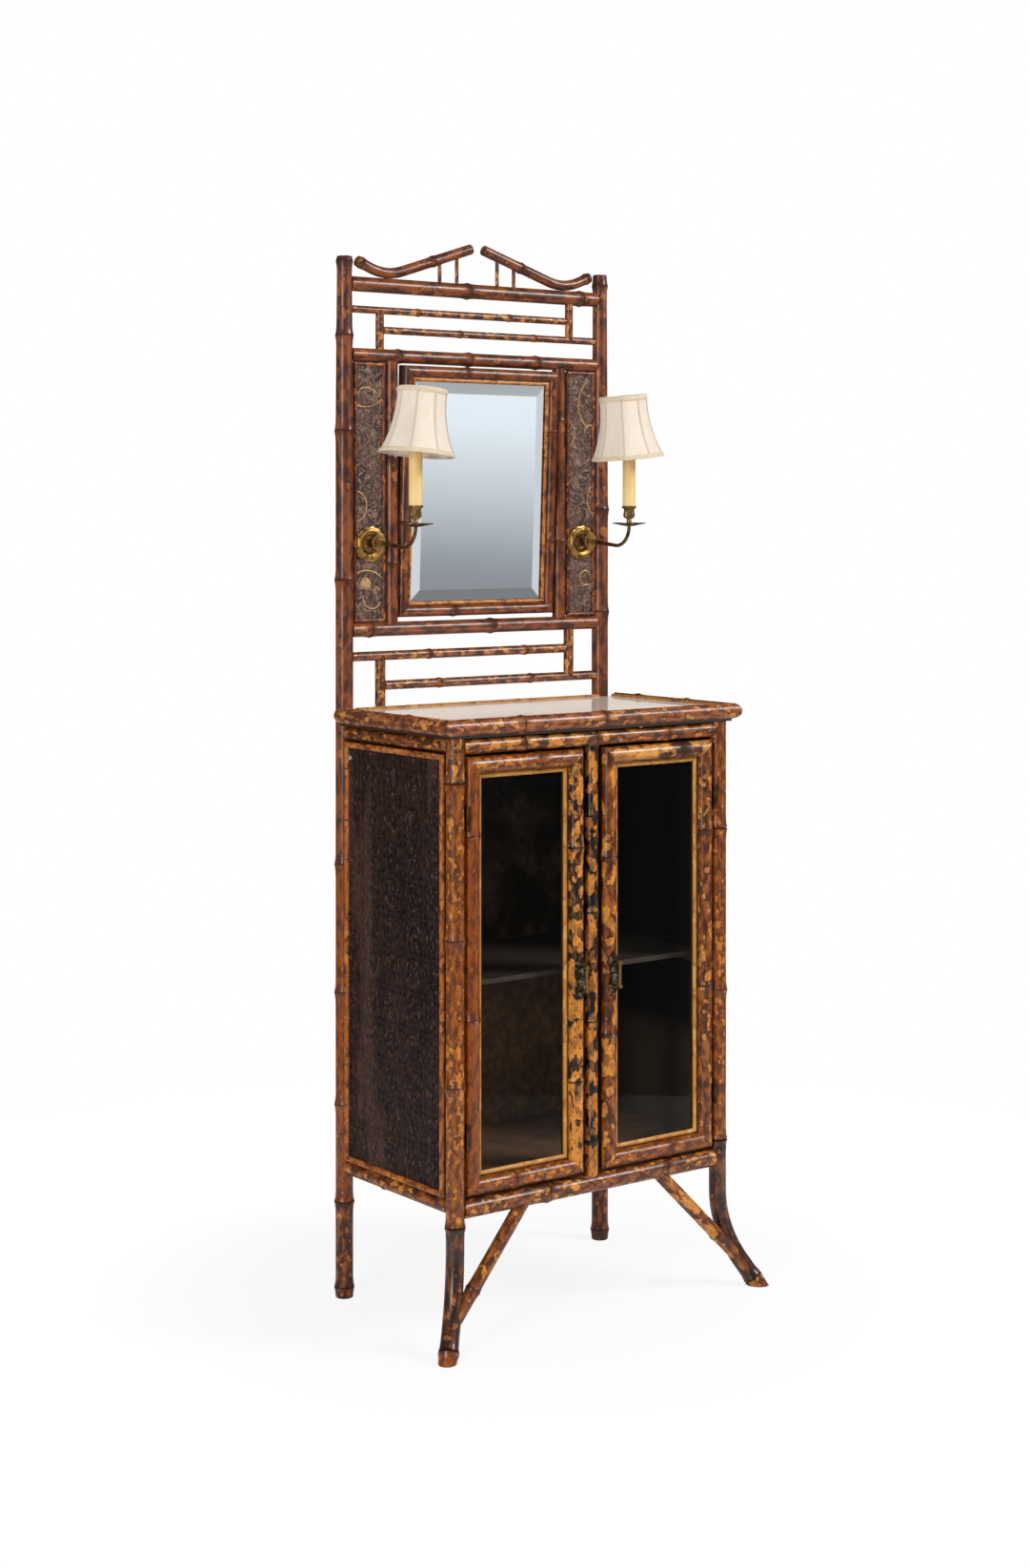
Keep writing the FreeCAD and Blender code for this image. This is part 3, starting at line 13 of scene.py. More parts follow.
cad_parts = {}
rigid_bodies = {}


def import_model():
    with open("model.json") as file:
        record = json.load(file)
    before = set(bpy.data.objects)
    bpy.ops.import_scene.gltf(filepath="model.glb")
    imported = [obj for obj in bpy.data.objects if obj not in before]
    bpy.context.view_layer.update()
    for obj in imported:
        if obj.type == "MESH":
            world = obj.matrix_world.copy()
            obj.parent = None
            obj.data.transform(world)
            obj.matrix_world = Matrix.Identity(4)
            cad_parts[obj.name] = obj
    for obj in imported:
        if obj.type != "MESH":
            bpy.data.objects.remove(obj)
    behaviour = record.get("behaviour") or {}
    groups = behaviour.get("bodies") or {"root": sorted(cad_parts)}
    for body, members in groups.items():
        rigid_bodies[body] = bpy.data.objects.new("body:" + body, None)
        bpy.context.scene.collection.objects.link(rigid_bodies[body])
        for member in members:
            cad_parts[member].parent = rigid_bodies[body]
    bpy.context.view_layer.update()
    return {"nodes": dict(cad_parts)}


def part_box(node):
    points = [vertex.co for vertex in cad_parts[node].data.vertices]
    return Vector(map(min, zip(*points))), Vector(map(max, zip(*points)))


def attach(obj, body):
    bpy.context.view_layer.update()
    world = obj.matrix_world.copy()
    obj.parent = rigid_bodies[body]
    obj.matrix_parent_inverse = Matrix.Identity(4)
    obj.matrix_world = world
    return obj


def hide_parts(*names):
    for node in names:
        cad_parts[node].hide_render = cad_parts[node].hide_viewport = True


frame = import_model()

bl_info = {
    "name": "Bamboo hall cabinet",
    "version": (1, 0, 0),
    "blender": (4, 5, 0),
    "location": "View3D > Sidebar > Cabinet",
    "description": "Dresses the hall cabinet in bamboo, split cane, embossed paper, brass and silk",
    "category": "Object",
}

GRAIN = "grain"
RING = "ring"
SIDES = {"left": -1, "right": 1}
FRONT = Vector((0, -1, 0))
UP = Vector((0, 0, 1))
RIGHT = Vector((1, 0, 0))

# Driving sizes, as the solids have them
POST_R = 0.0146
POST_TIP_R = 0.0125
POST_TAPER_START = 1.470
REAR_JOINTS = {
    "left": (0.018, 0.160, 0.321, 0.507, 0.720, 1.192, 1.440, 1.599, 1.722),
    "right": (0.018, 0.170, 0.340, 0.530, 0.745, 1.127, 1.310, 1.711),
}
FRONT_JOINTS = {"left": (0.190, 0.407, 0.636, 0.881), "right": (0.245, 0.498, 0.771)}
SPLAY = math.radians(36)
SPLAY_BEND_R = 0.200
FOOT_RUN = 0.052
FOOT_JOINT = 0.016
BRACE_R = 0.011
BRACE_TOP_X = 0.134
BRACE_FOOT_Z = 0.044
FRONT_BOTTOM_RAIL_R = 0.0145
SIDE_RAIL_R = 0.011
SIDE_RAIL_Z = (0.2175, 0.938)
FRONT_TOP_RAIL_R = 0.012
CENTRE_POST_R = 0.011
CREST_R = 0.0126
UPPER_CROSS_R = 0.0113
LOWER_CROSS_R = 0.012
STILE_X = 0.179
STILE_R = 0.0115
UPPER_FRET = {"high": 1.643, "low": 1.610, "rail_r": 0.0062, "upright_x": 0.202, "upright_r": 0.0072}
LOWER_FRET = {"high": 1.063, "low": 1.013, "rail_r": 0.0079, "upright_x": 0.201, "upright_r": 0.0088}
SCROLL_R = 0.009
SCROLL_INNER = Vector((0.013, 0, 1.758))
SCROLL_INNER_SLOPE = math.radians(18)
SCROLL_OUTER_SLOPE = math.radians(22)
SCROLL_BEND_R = 0.095
SCROLL_OUTER_X = 0.248
SPINDLE_R = 0.0033
SPINDLE_X = (0.043, 0.079)
NOSING_R = 0.013
TOP_BEAD = 0.008
DOOR_STILE = 0.027
DOOR_BEAD = 0.008
SIDE_BEAD = 0.010
WING_BEAD = 0.007
MIRROR_MOULD = 0.019
MIRROR_BEAD = 0.007
MIRROR_TILT = math.radians(2.4)
SHADE_LEAN = math.radians(6)
SHADE_BOTTOM = 0.024
SHADE_HEIGHT = 0.109
SHADE_BOTTOM_R = 0.0645
SHADE_WAIST_R = 0.046
SHADE_WAIST = 0.52
SHADE_TOP_R = 0.043
SHADE_RIBS = 8
SHADE_TAPE = 0.008
LAMP_Z = 1.374

# Sizes of the detail that the solids don't have
SCRIBE = 0.002
FRET_SCRIBE = 0.001
STILE_SEAT = 0.7
FRET_SEAT = 0.8
BEND_STEP = 0.010
SHARP_ANGLE = math.radians(42)
MIRROR_TRAY_FACE = 0.006
RIB_ROUND = 0.012
TAPE_THICK = 0.0004
SCREW_R = 0.0040
SCREW_FROM_BEAD = 0.005
SCREW_FROM_TOP = 0.026
BOSS_X = 0.007
BOSS_SHARE = 0.145

# Places read from the frame
REAR_POST = [sum(ends) / 2 for ends in zip(*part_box("right_rear_post"))]
POST_X, REAR_Y = REAR_POST[0], REAR_POST[1]
POST_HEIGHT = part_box("right_rear_post")[1].z
FRONT_Y = sum(corner.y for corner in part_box("front_top_rail")) / 2
SLEEVE_LOW, SLEEVE_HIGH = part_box("candle_sleeves")
CANDLE_Y = (SLEEVE_LOW.y + SLEEVE_HIGH.y) / 2
SCONCE_X = SLEEVE_HIGH.x - (SLEEVE_HIGH.y - SLEEVE_LOW.y) / 2


def middle_of(node):
    """Middle of a node's box."""
    low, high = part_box(node)
    return (low + high) / 2


def at_rear(x, z):
    """Point in the plane of the rear posts."""
    return Vector((x, REAR_Y, z))


def srgb(red, green, blue):
    """Linear colour from screen values of 0 to 255."""
    return tuple((value / 255 / 12.92) if value <= 10 else ((value / 255 + 0.055) / 1.055) ** 2.4
                 for value in (red, green, blue))


def paint(red, green, blue):
    """Linear colour with full alpha from screen values of 0 to 255."""
    return (*srgb(red, green, blue), 1.0)


def colour(name, description, red, green, blue):
    """A colour that the user can change."""
    return bpy.props.FloatVectorProperty(name=name, description=description, subtype="COLOR", size=3,
                                         min=0.0, max=1.0, default=srgb(red, green, blue))


def length(name, description, default):
    """A length that the user can change."""
    return bpy.props.FloatProperty(name=name, description=description, default=default, min=0.0,
                                   unit="LENGTH", precision=5)


def portion(name, description, default):
    """A share that the user can change."""
    return bpy.props.FloatProperty(name=name, description=description, default=default, min=0.0, max=1.0)


class CabinetSizes(bpy.types.PropertyGroup):
    """Sizes of the fine detail."""
    ring_swell: portion("Ring swell", "How far a joint stands proud, as a share of its cane's radius", 0.168)
    ring_fade: portion("Ring fade", "Reach of a joint's dark tone, as a share of the radius", 0.40)
    cloth: length("Cloth", "Thickness of the shade silk", 0.0006)
    brad_radius: length("Brad radius", "Head of the pins that hold the cane beads", 0.0009)
    brad_spacing: length("Brad spacing", "Distance between two pins", 0.085)
    scroll_line: length("Scroll line", "Thickness of the gilt lines on the papered panels", 0.0013)
    steps: bpy.props.IntProperty(name="Steps", description="Faces round a cane", default=28, min=8, max=64)


class CabinetColours(bpy.types.PropertyGroup):
    """Main colours of the cabinet."""
    dark: colour("Dark bamboo", "Ground of the upper canes", 130, 66, 30)
    scorch: colour("Scorch", "Burnt patches on the canes", 72, 36, 20)
    worn: colour("Worn bamboo", "Bare spots on the canes", 228, 150, 60)
    amber: colour("Amber bamboo", "Ground of the front canes", 140, 70, 10)
    cane: colour("Split cane", "Light cane beads", 206, 140, 62)
    paper: colour("Embossed paper", "Paper of the cabinet's sides", 46, 28, 23)
    wing_paper: colour("Wing paper", "Paper beside the mirror", 94, 66, 54)
    gilt: colour("Gilt", "Gilt lines and plates", 202, 154, 82)
    brass: colour("Aged brass", "Arms, pans and cups", 176, 142, 88)
    lacquer: colour("Table lacquer", "Face of the table top", 255, 242, 228)
    silk: colour("Silk", "Cloth of the shades", 255, 239, 222)
    candle: colour("Candle", "Waxed candle sleeves", 255, 222, 152)


def sizes():
    """The scene's detail sizes."""
    return bpy.context.scene.cabinet_sizes


def tint(name):
    """One of the scene's colours, with full alpha."""
    return (*getattr(bpy.context.scene.cabinet_colours, name), 1.0)


class Field:
    """A shader value that takes part in Python arithmetic."""

    def __init__(self, graph, socket):
        self.graph = graph
        self.socket = socket

    def __add__(self, other):
        return self.graph.math("ADD", self, other)

    def __radd__(self, other):
        return self.graph.math("ADD", other, self)

    def __sub__(self, other):
        return self.graph.math("SUBTRACT", self, other)

    def __rsub__(self, other):
        return self.graph.math("SUBTRACT", other, self)

    def __mul__(self, other):
        return self.graph.math("MULTIPLY", self, other)

    def __rmul__(self, other):
        return self.graph.math("MULTIPLY", other, self)

    def __pow__(self, other):
        return self.graph.math("POWER", self, other)


class Graph:
    """A node tree that is put together one node at a time."""

    def __init__(self, tree):
        self.tree = tree

    def node(self, kind, settings=None, sockets=None, output=0):
        made = self.tree.nodes.new(kind)
        for key, value in (settings or {}).items():
            if key == "stops":
                ramp = made.color_ramp.elements
                while len(ramp) < len(value):
                    ramp.new(1.0)
                for element, (position, stop) in zip(ramp, value):
                    element.position = position
                    element.color = stop
            else:
                setattr(made, key, value)
        for key, value in (sockets or {}).items():
            self.feed(made.inputs[key], value)
        return Field(self, made.outputs[output])

    def feed(self, socket, value):
        if isinstance(value, Field):
            self.tree.links.new(value.socket, socket)
        else:
            socket.default_value = value

    def math(self, operation, first, second=0.0):
        return self.node("ShaderNodeMath", {"operation": operation}, {0: first, 1: second})

    def mix(self, factor, first, second, blend="MIX"):
        return self.node("ShaderNodeMix", {"data_type": "RGBA", "blend_type": blend},
                         {0: factor, 6: first, 7: second}, 2)

    def stretched(self, coordinates, scale):
        return self.node("ShaderNodeVectorMath", {"operation": "MULTIPLY"}, {0: coordinates, 1: scale})

    def noise(self, coordinates, scale, detail=3.0, rough=0.55, twist=0.0):
        return self.node("ShaderNodeTexNoise", {}, {
            "Vector": self.stretched(coordinates, scale), "Scale": 1.0, "Detail": detail,
            "Roughness": rough, "Distortion": twist})

    def cells(self, feature, coordinates, scale, smooth=None):
        sockets = {"Vector": self.stretched(coordinates, scale), "Scale": 1.0}
        if smooth:
            sockets["Smoothness"] = smooth
        return self.node("ShaderNodeTexVoronoi", {"feature": feature}, sockets)

    def step(self, value, low, high):
        return self.node("ShaderNodeMapRange", {"interpolation_type": "SMOOTHSTEP"},
                         {"Value": value, "From Min": low, "From Max": high})

    def parts(self, coordinates):
        made = self.node("ShaderNodeSeparateXYZ", {}, {"Vector": coordinates}).socket.node
        return [Field(self, out) for out in made.outputs]


class Finish(Graph):
    """A material on one Principled shader."""

    def __init__(self, name, **constants):
        self.material = bpy.data.materials.new(name)
        self.material.use_nodes = True
        super().__init__(self.material.node_tree)
        self.shader = self.tree.nodes["Principled BSDF"]
        for key, value in constants.items():
            self.set(key.replace("_", " ").title().replace("Ior", "IOR"), value)

    def set(self, socket, value):
        self.feed(self.shader.inputs[socket], value)

    def surface(self, shader):
        self.feed(self.tree.nodes["Material Output"].inputs["Surface"], shader)

    def objects(self):
        return self.node("ShaderNodeTexCoord", output=3)

    def along_grain(self):
        return self.node("ShaderNodeUVMap", {"uv_map": GRAIN})

    def attribute(self, name):
        return self.node("ShaderNodeAttribute", {"attribute_name": name}, output=2)

    def bump(self, height, strength, distance):
        self.set("Normal", self.node("ShaderNodeBump", {}, {
            "Strength": strength, "Distance": distance, "Height": height}))


Bamboo = namedtuple("Bamboo", "ground deep worn deep_from worn_from patch rough lift")


def bamboo_finishes():
    """Scorched bamboo in the shades that the canes have, from the user's colours or screen values."""
    def tone(ground, deep, worn, deep_from, worn_from, patch, rough=0.26, lift=0.0):
        shades = (tint(each) if isinstance(each, str) else paint(*each) for each in (ground, deep, worn))
        return Bamboo(*shades, deep_from, worn_from, patch, rough, lift)

    return {
        "dark_cane": tone("dark", "scorch", (176, 100, 44), 0.53, 0.62, 0.026),
        "fret_cane": tone((126, 64, 24), (68, 34, 16), "worn", 0.55, 0.565, 0.016),
        "nosing_cane": tone((150, 80, 36), (84, 42, 20), (222, 150, 80), 0.55, 0.575, 0.018, 0.28),
        "worn_cane": tone((142, 72, 18), (72, 34, 12), "worn", 0.56, 0.505, 0.024),
        "tortoise_cane": tone((112, 54, 18), (60, 28, 10), (238, 166, 72), 0.56, 0.44, 0.034),
        "amber_cane": tone("amber", (94, 44, 8), (214, 132, 40), 0.54, 0.56, 0.013),
        "even_cane": tone((140, 68, 8), (98, 44, 4), (186, 104, 28), 0.56, 0.62, 0.016),
        "panther_cane": tone((54, 31, 17), (34, 20, 12), (240, 152, 50), 0.50, 0.490, 0.019, lift=0.12),
        "gold_cane": tone((126, 60, 14), (70, 31, 8), (232, 152, 54), 0.56, 0.505, 0.024),
        "ebony_cane": tone((36, 21, 13), (20, 12, 8), (228, 142, 52), 0.52, 0.525, 0.021, 0.24, 0.11),
        "leg_cane": tone((84, 44, 22), (46, 24, 15), (178, 104, 44), 0.50, 0.63, 0.020, 0.20),
        "russet_cane": tone((112, 56, 22), (56, 28, 12), (206, 120, 48), 0.52, 0.575, 0.014, 0.32),
        "split_cane": tone("cane", (164, 98, 38), (228, 172, 92), 0.62, 0.55, 0.020, 0.32),
        "table_bead": tone((190, 128, 58), (140, 84, 34), (214, 160, 84), 0.60, 0.55, 0.020, 0.55),
        "mirror_bead": tone((200, 124, 50), (126, 68, 26), (226, 160, 78), 0.57, 0.55, 0.018, 0.28),
        "amber_bead": tone((172, 94, 30), (86, 42, 14), (206, 130, 50), 0.58, 0.57, 0.018, 0.28),
        "wing_bead": tone((114, 54, 24), (58, 28, 16), (202, 112, 44), 0.53, 0.57, 0.014, 0.28),
    }


def bamboo(name, tone):
    """Lacquered bamboo: scorched mottle, bare patches that may grow lower down, fibres and dark joints."""
    lacquer = max(0.0, 0.92 - 2 * tone.rough)
    made = Finish(name, coat_weight=lacquer, coat_roughness=0.22, specular_ior_level=0.36)
    grain = made.along_grain()
    ring = made.attribute(RING)
    fibres = made.noise(grain, (9, 900, 1), 2.0, 0.6)
    slow = made.noise(grain, (8, 10, 1), 1.0)
    mottle = made.noise(grain, (0.7 / tone.patch, 1.6 / tone.patch, 1), 4.0, 0.6, 0.4)
    spots = made.noise(grain, (1 / tone.patch, 1.5 / tone.patch, 1), 3.0, 0.52, 0.5)
    cells = made.cells("SMOOTH_F1", grain, (0.9 / tone.patch, 1.3 / tone.patch, 1), 0.4)
    speckle = made.noise(grain, (150, 230, 1), 3.0, 0.6)
    level = 0.165 + spots * 0.7 - cells * 0.45 + slow * 0.36 - ring * 0.12
    if tone.lift:
        level = level + made.step(made.parts(made.objects())[2], 0.72, 0.42) * tone.lift
    bare = made.step(level, tone.worn_from - 0.016, tone.worn_from + 0.026)
    bare = bare * made.step(speckle, 0.26, 0.52)
    rim = made.step(level, tone.worn_from - 0.14, tone.worn_from - 0.02)
    deep = made.step(mottle + rim * 0.10 + ring * 0.10, tone.deep_from - 0.07, tone.deep_from + 0.07)
    soft = made.mix(made.step(mottle, 0.51, 0.36) * 0.3, tone.ground, tone.worn)
    base = made.mix(deep * 0.9, soft, tone.deep)
    base = made.mix(bare, base, made.mix(made.step(mottle, 0.38, 0.68) * 0.7, tone.worn, tone.ground))
    fade = made.step(fibres, 0.25, 0.75) * 0.26 + 0.87
    grey = made.node("ShaderNodeCombineColor", {}, {0: fade, 1: fade, 2: fade})
    base = made.mix(1.0, base, grey, "MULTIPLY")
    made.set("Base Color", made.mix(made.step(ring, 0.58, 0.92) * 0.8, base, tone.deep))
    made.set("Roughness", tone.rough + 0.10 * deep + 0.10 * fibres)
    made.bump(fibres * 0.4 + mottle, 0.16, 0.0006)
    return made.material


def embossed_paper():
    """Dark paper pressed with tiles, with painted shade and painted highlight in strokes and ripples over its
    relief.

    Each tile has a ring round a grille or a rosette in turn, and pits at the corners, painted dark as shade.
    On the inside of its panel the paper is plain, near-black up high as painted shade and lighter lower down
    as painted light.
    """
    made = Finish("embossed_paper", coat_roughness=0.30, specular_ior_level=0.16)
    place = made.objects()
    x, y, z = made.parts(place)
    tile = 0.060
    skin = 0.001
    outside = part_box("right_side_panel")[1].x - skin

    def in_tile(value):
        return made.math("FRACT", value * (1 / tile)) * 2.0 - 1.0

    u, v = in_tile(y), in_tile(z)
    row = made.math("FLOOR", y * (1 / tile)) + made.math("FLOOR", z * (1 / tile))
    turn_about = made.math("PINGPONG", row, 1.0)
    wide, tall = made.math("ABSOLUTE", u), made.math("ABSOLUTE", v)
    far = (u * u + v * v) ** 0.5
    ring = made.step(made.math("ABSOLUTE", far - 0.66), 0.12, 0.03)
    grille = [made.step(made.math("PINGPONG", each, 0.14), 0.075, 0.03) for each in (u, v)]
    bars = made.math("MAXIMUM", *grille)
    petals = made.math("COSINE", made.math("ARCTAN2", v, u) * 8.0) * made.math("SINE", far * 12.0)
    heart = made.step(far, 0.54, 0.48) * (bars * turn_about + (0.5 + 0.5 * petals) * (1.0 - turn_about))
    pit = made.step(((wide - 0.8) * (wide - 0.8) + (tall - 0.8) * (tall - 0.8)) ** 0.5, 0.17, 0.07)
    band = made.step(tall, 0.90, 0.96)
    leaf = made.noise(place, (240, 240, 240), 3.0)
    cockle = made.noise(place, (1, 15, 2), 2.0)
    dash = made.noise(place, (1, 230, 110), 2.0, 0.5)
    height = ring * 0.7 + heart * 0.7 - pit + band * 0.5 + leaf * 0.7
    worked_up = 0.25 + 0.75 * made.math("MAXIMUM", ring, heart)
    # Painted shade: dark strokes over the relief, darker pits and the dark side of each ripple.
    painted_shade_strokes = made.step(dash, 0.49, 0.62) * worked_up + pit * 0.7 + made.step(cockle, 0.46, 0.36) * 0.5
    # Painted highlight: light strokes over the relief and the light side of each ripple.
    proud = made.step(dash, 0.47, 0.36) * worked_up * 0.9 + made.step(cockle, 0.54, 0.66) * 0.3
    base = made.mix(made.math("MINIMUM", painted_shade_strokes, 0.9), tint("paper"), paint(10, 5, 4))
    base = made.mix(made.math("MINIMUM", proud, 0.8), base, paint(106, 74, 62))
    face = made.step(made.math("ABSOLUTE", x), outside - skin, outside)
    # Inside of the panel: painted shade, near-black up high, and painted light, lighter lower down.
    inside = made.mix(made.step(z, 0.44, 0.39), paint(10, 8, 7), paint(70, 56, 43))
    made.set("Base Color", made.mix(face, inside, base))
    made.set("Coat Weight", face * 0.08)
    made.set("Roughness", 0.9 - face * (0.44 + 0.10 * ring - 0.10 * leaf))
    made.bump((height * 0.0032 + cockle * 0.026) * face, 1.0, 1.0)
    return made.material


def wing_paper():
    """Mauve-brown paper pressed with feathery leaves, beside the mirror, with a painted highlight on the
    raised leaves, on a board that is bare behind.
    """
    made = Finish("wing_paper", coat_weight=0.10, coat_roughness=0.35, specular_ior_level=0.35)
    place = made.objects()
    sway = made.node("ShaderNodeTexNoise", {}, {"Vector": place, "Scale": 30.0, "Detail": 2.0}, 1)
    bent = made.node("ShaderNodeVectorMath", {"operation": "MULTIPLY_ADD"}, {
        0: sway, 1: (0.07, 0.07, 0.07), 2: place})
    vein = made.cells("DISTANCE_TO_EDGE", bent, (110, 1, 80))
    fold = made.cells("SMOOTH_F1", bent, (230, 1, 330), 0.3)
    soot = made.noise(place, (30, 30, 18), 4.0)
    height = made.step(vein, 0.20, 0.02) * 0.6 + fold
    raised_and_highlight = made.step(height, 0.55, 1.25)
    ground = made.mix(made.step(soot, 0.40, 0.65), tint("wing_paper"), paint(60, 40, 32))
    # Painted highlight: the raised leaves take a lighter colour, as if lit.
    base = made.mix(raised_and_highlight * 0.85, ground, paint(150, 120, 104))
    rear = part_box("wing_panels")[1].y
    behind = made.step(made.parts(place)[1], rear - 0.002, rear - 0.001)
    made.set("Base Color", made.mix(behind, base, paint(66, 47, 36)))
    made.set("Roughness", 0.50 - 0.14 * raised_and_highlight)
    made.bump(height * (1.0 - behind), 0.9, 0.0024)
    return made.material


def lining_paper():
    """Near-black pressed paper with a dusty mottle and painted light that makes it much lighter lower down,
    on a board that is bare behind.
    """
    made = Finish("lining_paper", specular_ior_level=0.3)
    place = made.objects()
    leaf = made.cells("SMOOTH_F1", place, (70, 70, 70), 0.5)
    dust = made.noise(place, (14, 14, 14), 5.0)
    _, y, z = made.parts(place)
    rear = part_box("back_panel")[1].y
    grain = made.noise(place, (70, 70, 5), 4.0, 0.6, 0.4)
    bare = made.mix(made.step(grain, 0.35, 0.65), paint(52, 37, 28), paint(80, 58, 44))
    # Painted light: much lighter lower down, as light through the door glass would make it.
    low = made.step(z, 0.58, 0.40)
    base = made.mix(low, paint(36, 27, 20), paint(150, 119, 93))
    base = made.mix(made.step(dust, 0.42, 0.70) * 0.8, base, paint(112, 88, 67))
    pressed = made.step(leaf, 0.30, 0.62) * made.step(y, rear - 0.03, rear - 0.02)
    base = made.mix(pressed * 0.35, base, paint(40, 30, 23))
    made.set("Base Color", made.mix(made.step(y, rear - 0.002, rear - 0.001), base, bare))
    made.set("Roughness", 0.66 - 0.2 * leaf)
    made.bump(leaf + dust * 0.5, 0.5, 0.0015)
    return made.material


def mottled(name, scale, tones, rough, noise=(3.0,), band=(0.4, 0.7), part=1.0, bump=None, **constants):
    """Surface of two tones that one noise mixes."""
    made = Finish(name, **constants)
    mottle = made.noise(made.objects(), scale, *noise)
    made.set("Base Color", made.mix(made.step(mottle, *band) * part, *tones))
    made.set("Roughness", rough[0] + rough[1] * mottle)
    if bump:
        made.bump(mottle, *bump)
    return made.material


def stained_wood():
    """Dark stained softwood of frames and battens."""
    return mottled("stained_wood", (90, 90, 6), (paint(40, 26, 20), paint(74, 48, 34)), (0.5, 0.2),
                   (4.0, 0.6, 0.4), (0.35, 0.65), bump=(0.15, 0.0005))


def table_lacquer():
    """Pale lacquer with fine crazing and a few stains, on a board that is stained dark elsewhere."""
    made = Finish("table_lacquer", coat_weight=0.6, coat_roughness=0.06)
    place = made.objects()
    wander = made.noise(place, (5, 5, 5), 3.0)
    shift = made.node("ShaderNodeCombineXYZ", {}, {0: wander, 1: wander})
    wavy = made.node("ShaderNodeVectorMath", {"operation": "ADD"}, {
        0: made.stretched(place, (9, 13, 1)), 1: shift})
    crack = made.cells("DISTANCE_TO_EDGE", wavy, (1, 1, 1))
    stain = made.noise(place, (11, 7, 3), 5.0, 0.6)
    where = made.noise(place, (4.3, 5.1, 1), 1.0)
    line = made.step(crack, 0.011, 0.002) * made.step(where, 0.60, 0.66)
    base = made.mix(made.step(stain, 0.46, 0.72) * 0.32, tint("lacquer"), paint(172, 138, 106))
    base = made.mix(line * 0.55, base, paint(108, 76, 54))
    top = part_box("top_board")[1].z
    face = made.step(made.parts(place)[2], top - 0.0010, top - 0.0004)
    made.set("Base Color", made.mix(face, paint(48, 30, 22), base))
    made.set("Roughness", 0.20 + 0.18 * stain)
    made.bump(stain - line * 0.6, 0.08, 0.0006)
    return made.material


def aged_metal(name, bright, dull, share, rough, metallic=0.8):
    """Cast metal, bright where it is rubbed and dull in the hollows."""
    made = Finish(name, metallic=metallic)
    place = made.objects()
    patina = made.noise(place, (75, 75, 75), 4.0, 0.6)
    grit = made.noise(place, (420, 420, 420), 2.0)
    worn = made.step(patina, share - 0.10, share + 0.12)
    made.set("Base Color", made.mix(worn, bright, dull))
    made.set("Roughness", rough + 0.22 * worn + 0.08 * grit)
    made.bump(patina + grit * 0.4, 0.12, 0.0005)
    return made.material


def rubbed_bronze(name, noise, band, tones, rubbed, rough, bump):
    """Dark bronze that is rubbed bright between two depths."""
    made = Finish(name, metallic=0.8)
    place = made.objects()
    patina = made.noise(place, *noise)
    base = made.mix(made.step(patina, *band), tones[0], tones[1])
    near = made.step(made.parts(place)[1], *rubbed)
    made.set("Base Color", made.mix(near, base, tones[2]))
    made.set("Roughness", 0.30 + rough * patina)
    made.bump(patina, *bump)
    return made.material


def arm_bronze():
    """Dark bronze arms whose knobs are gilt where they meet the plates."""
    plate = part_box("sconce_backplates")[0].y
    tones = (paint(128, 100, 62), paint(74, 54, 34), paint(186, 146, 84))
    return rubbed_bronze("arm_bronze", ((75, 75, 75), 4.0, 0.6), (0.40, 0.62), tones,
                         (plate - 0.034, plate - 0.020), 0.20, (0.12, 0.0005))


def pull_bronze():
    """Dark bronze whose grip, in front, is rubbed to a dull gold."""
    tones = (paint(48, 37, 28), paint(156, 140, 118), paint(150, 118, 62))
    grip_from, grip_to = -0.1595, -0.1625
    return rubbed_bronze("pull_bronze", ((190, 190, 190), 3.0, 0.6), (0.46, 0.66), tones,
                         (grip_from, grip_to), 0.3, (0.6, 0.0010))


def silk():
    """Cream silk with a fine slub."""
    made = Finish("shade_silk", sheen_weight=0.25, sheen_roughness=0.5)
    place = made.objects()
    slub = made.noise(place, (600, 600, 70), 3.0, 0.6)
    cloud = made.noise(place, (18, 18, 9), 3.0)
    base = made.mix(made.step(slub, 0.35, 0.7) * 0.35, tint("silk"), paint(232, 212, 190))
    base = made.mix(made.step(cloud, 0.4, 0.7) * 0.4, base, paint(232, 214, 192))
    seam = made.step(made.attribute(RING), 0.55, 0.85)
    made.set("Base Color", made.mix(seam * 0.35, base, paint(214, 190, 162)))
    made.set("Roughness", 0.72 + 0.2 * slub)
    made.bump(slub, 0.12, 0.0004)
    return made.material


def tape():
    """Folded tape round the rims of a shade."""
    return mottled("shade_tape", (500, 500, 160), (paint(240, 224, 196), paint(226, 204, 168)), (0.75, 0.15),
                   (3.0, 0.6), (0.3, 0.7), bump=(0.2, 0.0005), sheen_weight=0.2, sheen_roughness=0.5)


def candle_wax():
    """Waxed card, with painted shade that makes it darker and warmer towards the top, below the lampshade."""
    made = Finish("candle_wax", coat_weight=0.2, coat_roughness=0.25)
    place = made.objects()
    flow = made.noise(place, (90, 90, 16), 3.0)
    low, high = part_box("candle_sleeves")
    base = made.mix(made.step(flow, 0.4, 0.75) * 0.3, tint("candle"), paint(246, 204, 128))
    # Painted shade: darker and warmer towards the top, below the lampshade.
    painted_shade_near_top = made.step(made.parts(place)[2], low.z + 0.015, high.z - 0.035)
    made.set("Base Color", made.mix(painted_shade_near_top * 0.35, base, paint(236, 176, 92)))
    made.set("Roughness", 0.42 + 0.2 * flow)
    made.bump(flow, 0.08, 0.0006)
    return made.material


def pale_plastic(name, red, green, blue, rough):
    """Smooth moulded or painted surface with a faint mottle."""
    tones = (paint(red, green, blue), paint(red * 0.9, green * 0.88, blue * 0.84))
    return mottled(name, (140, 140, 140), tones, (rough, 0.15), part=0.4)


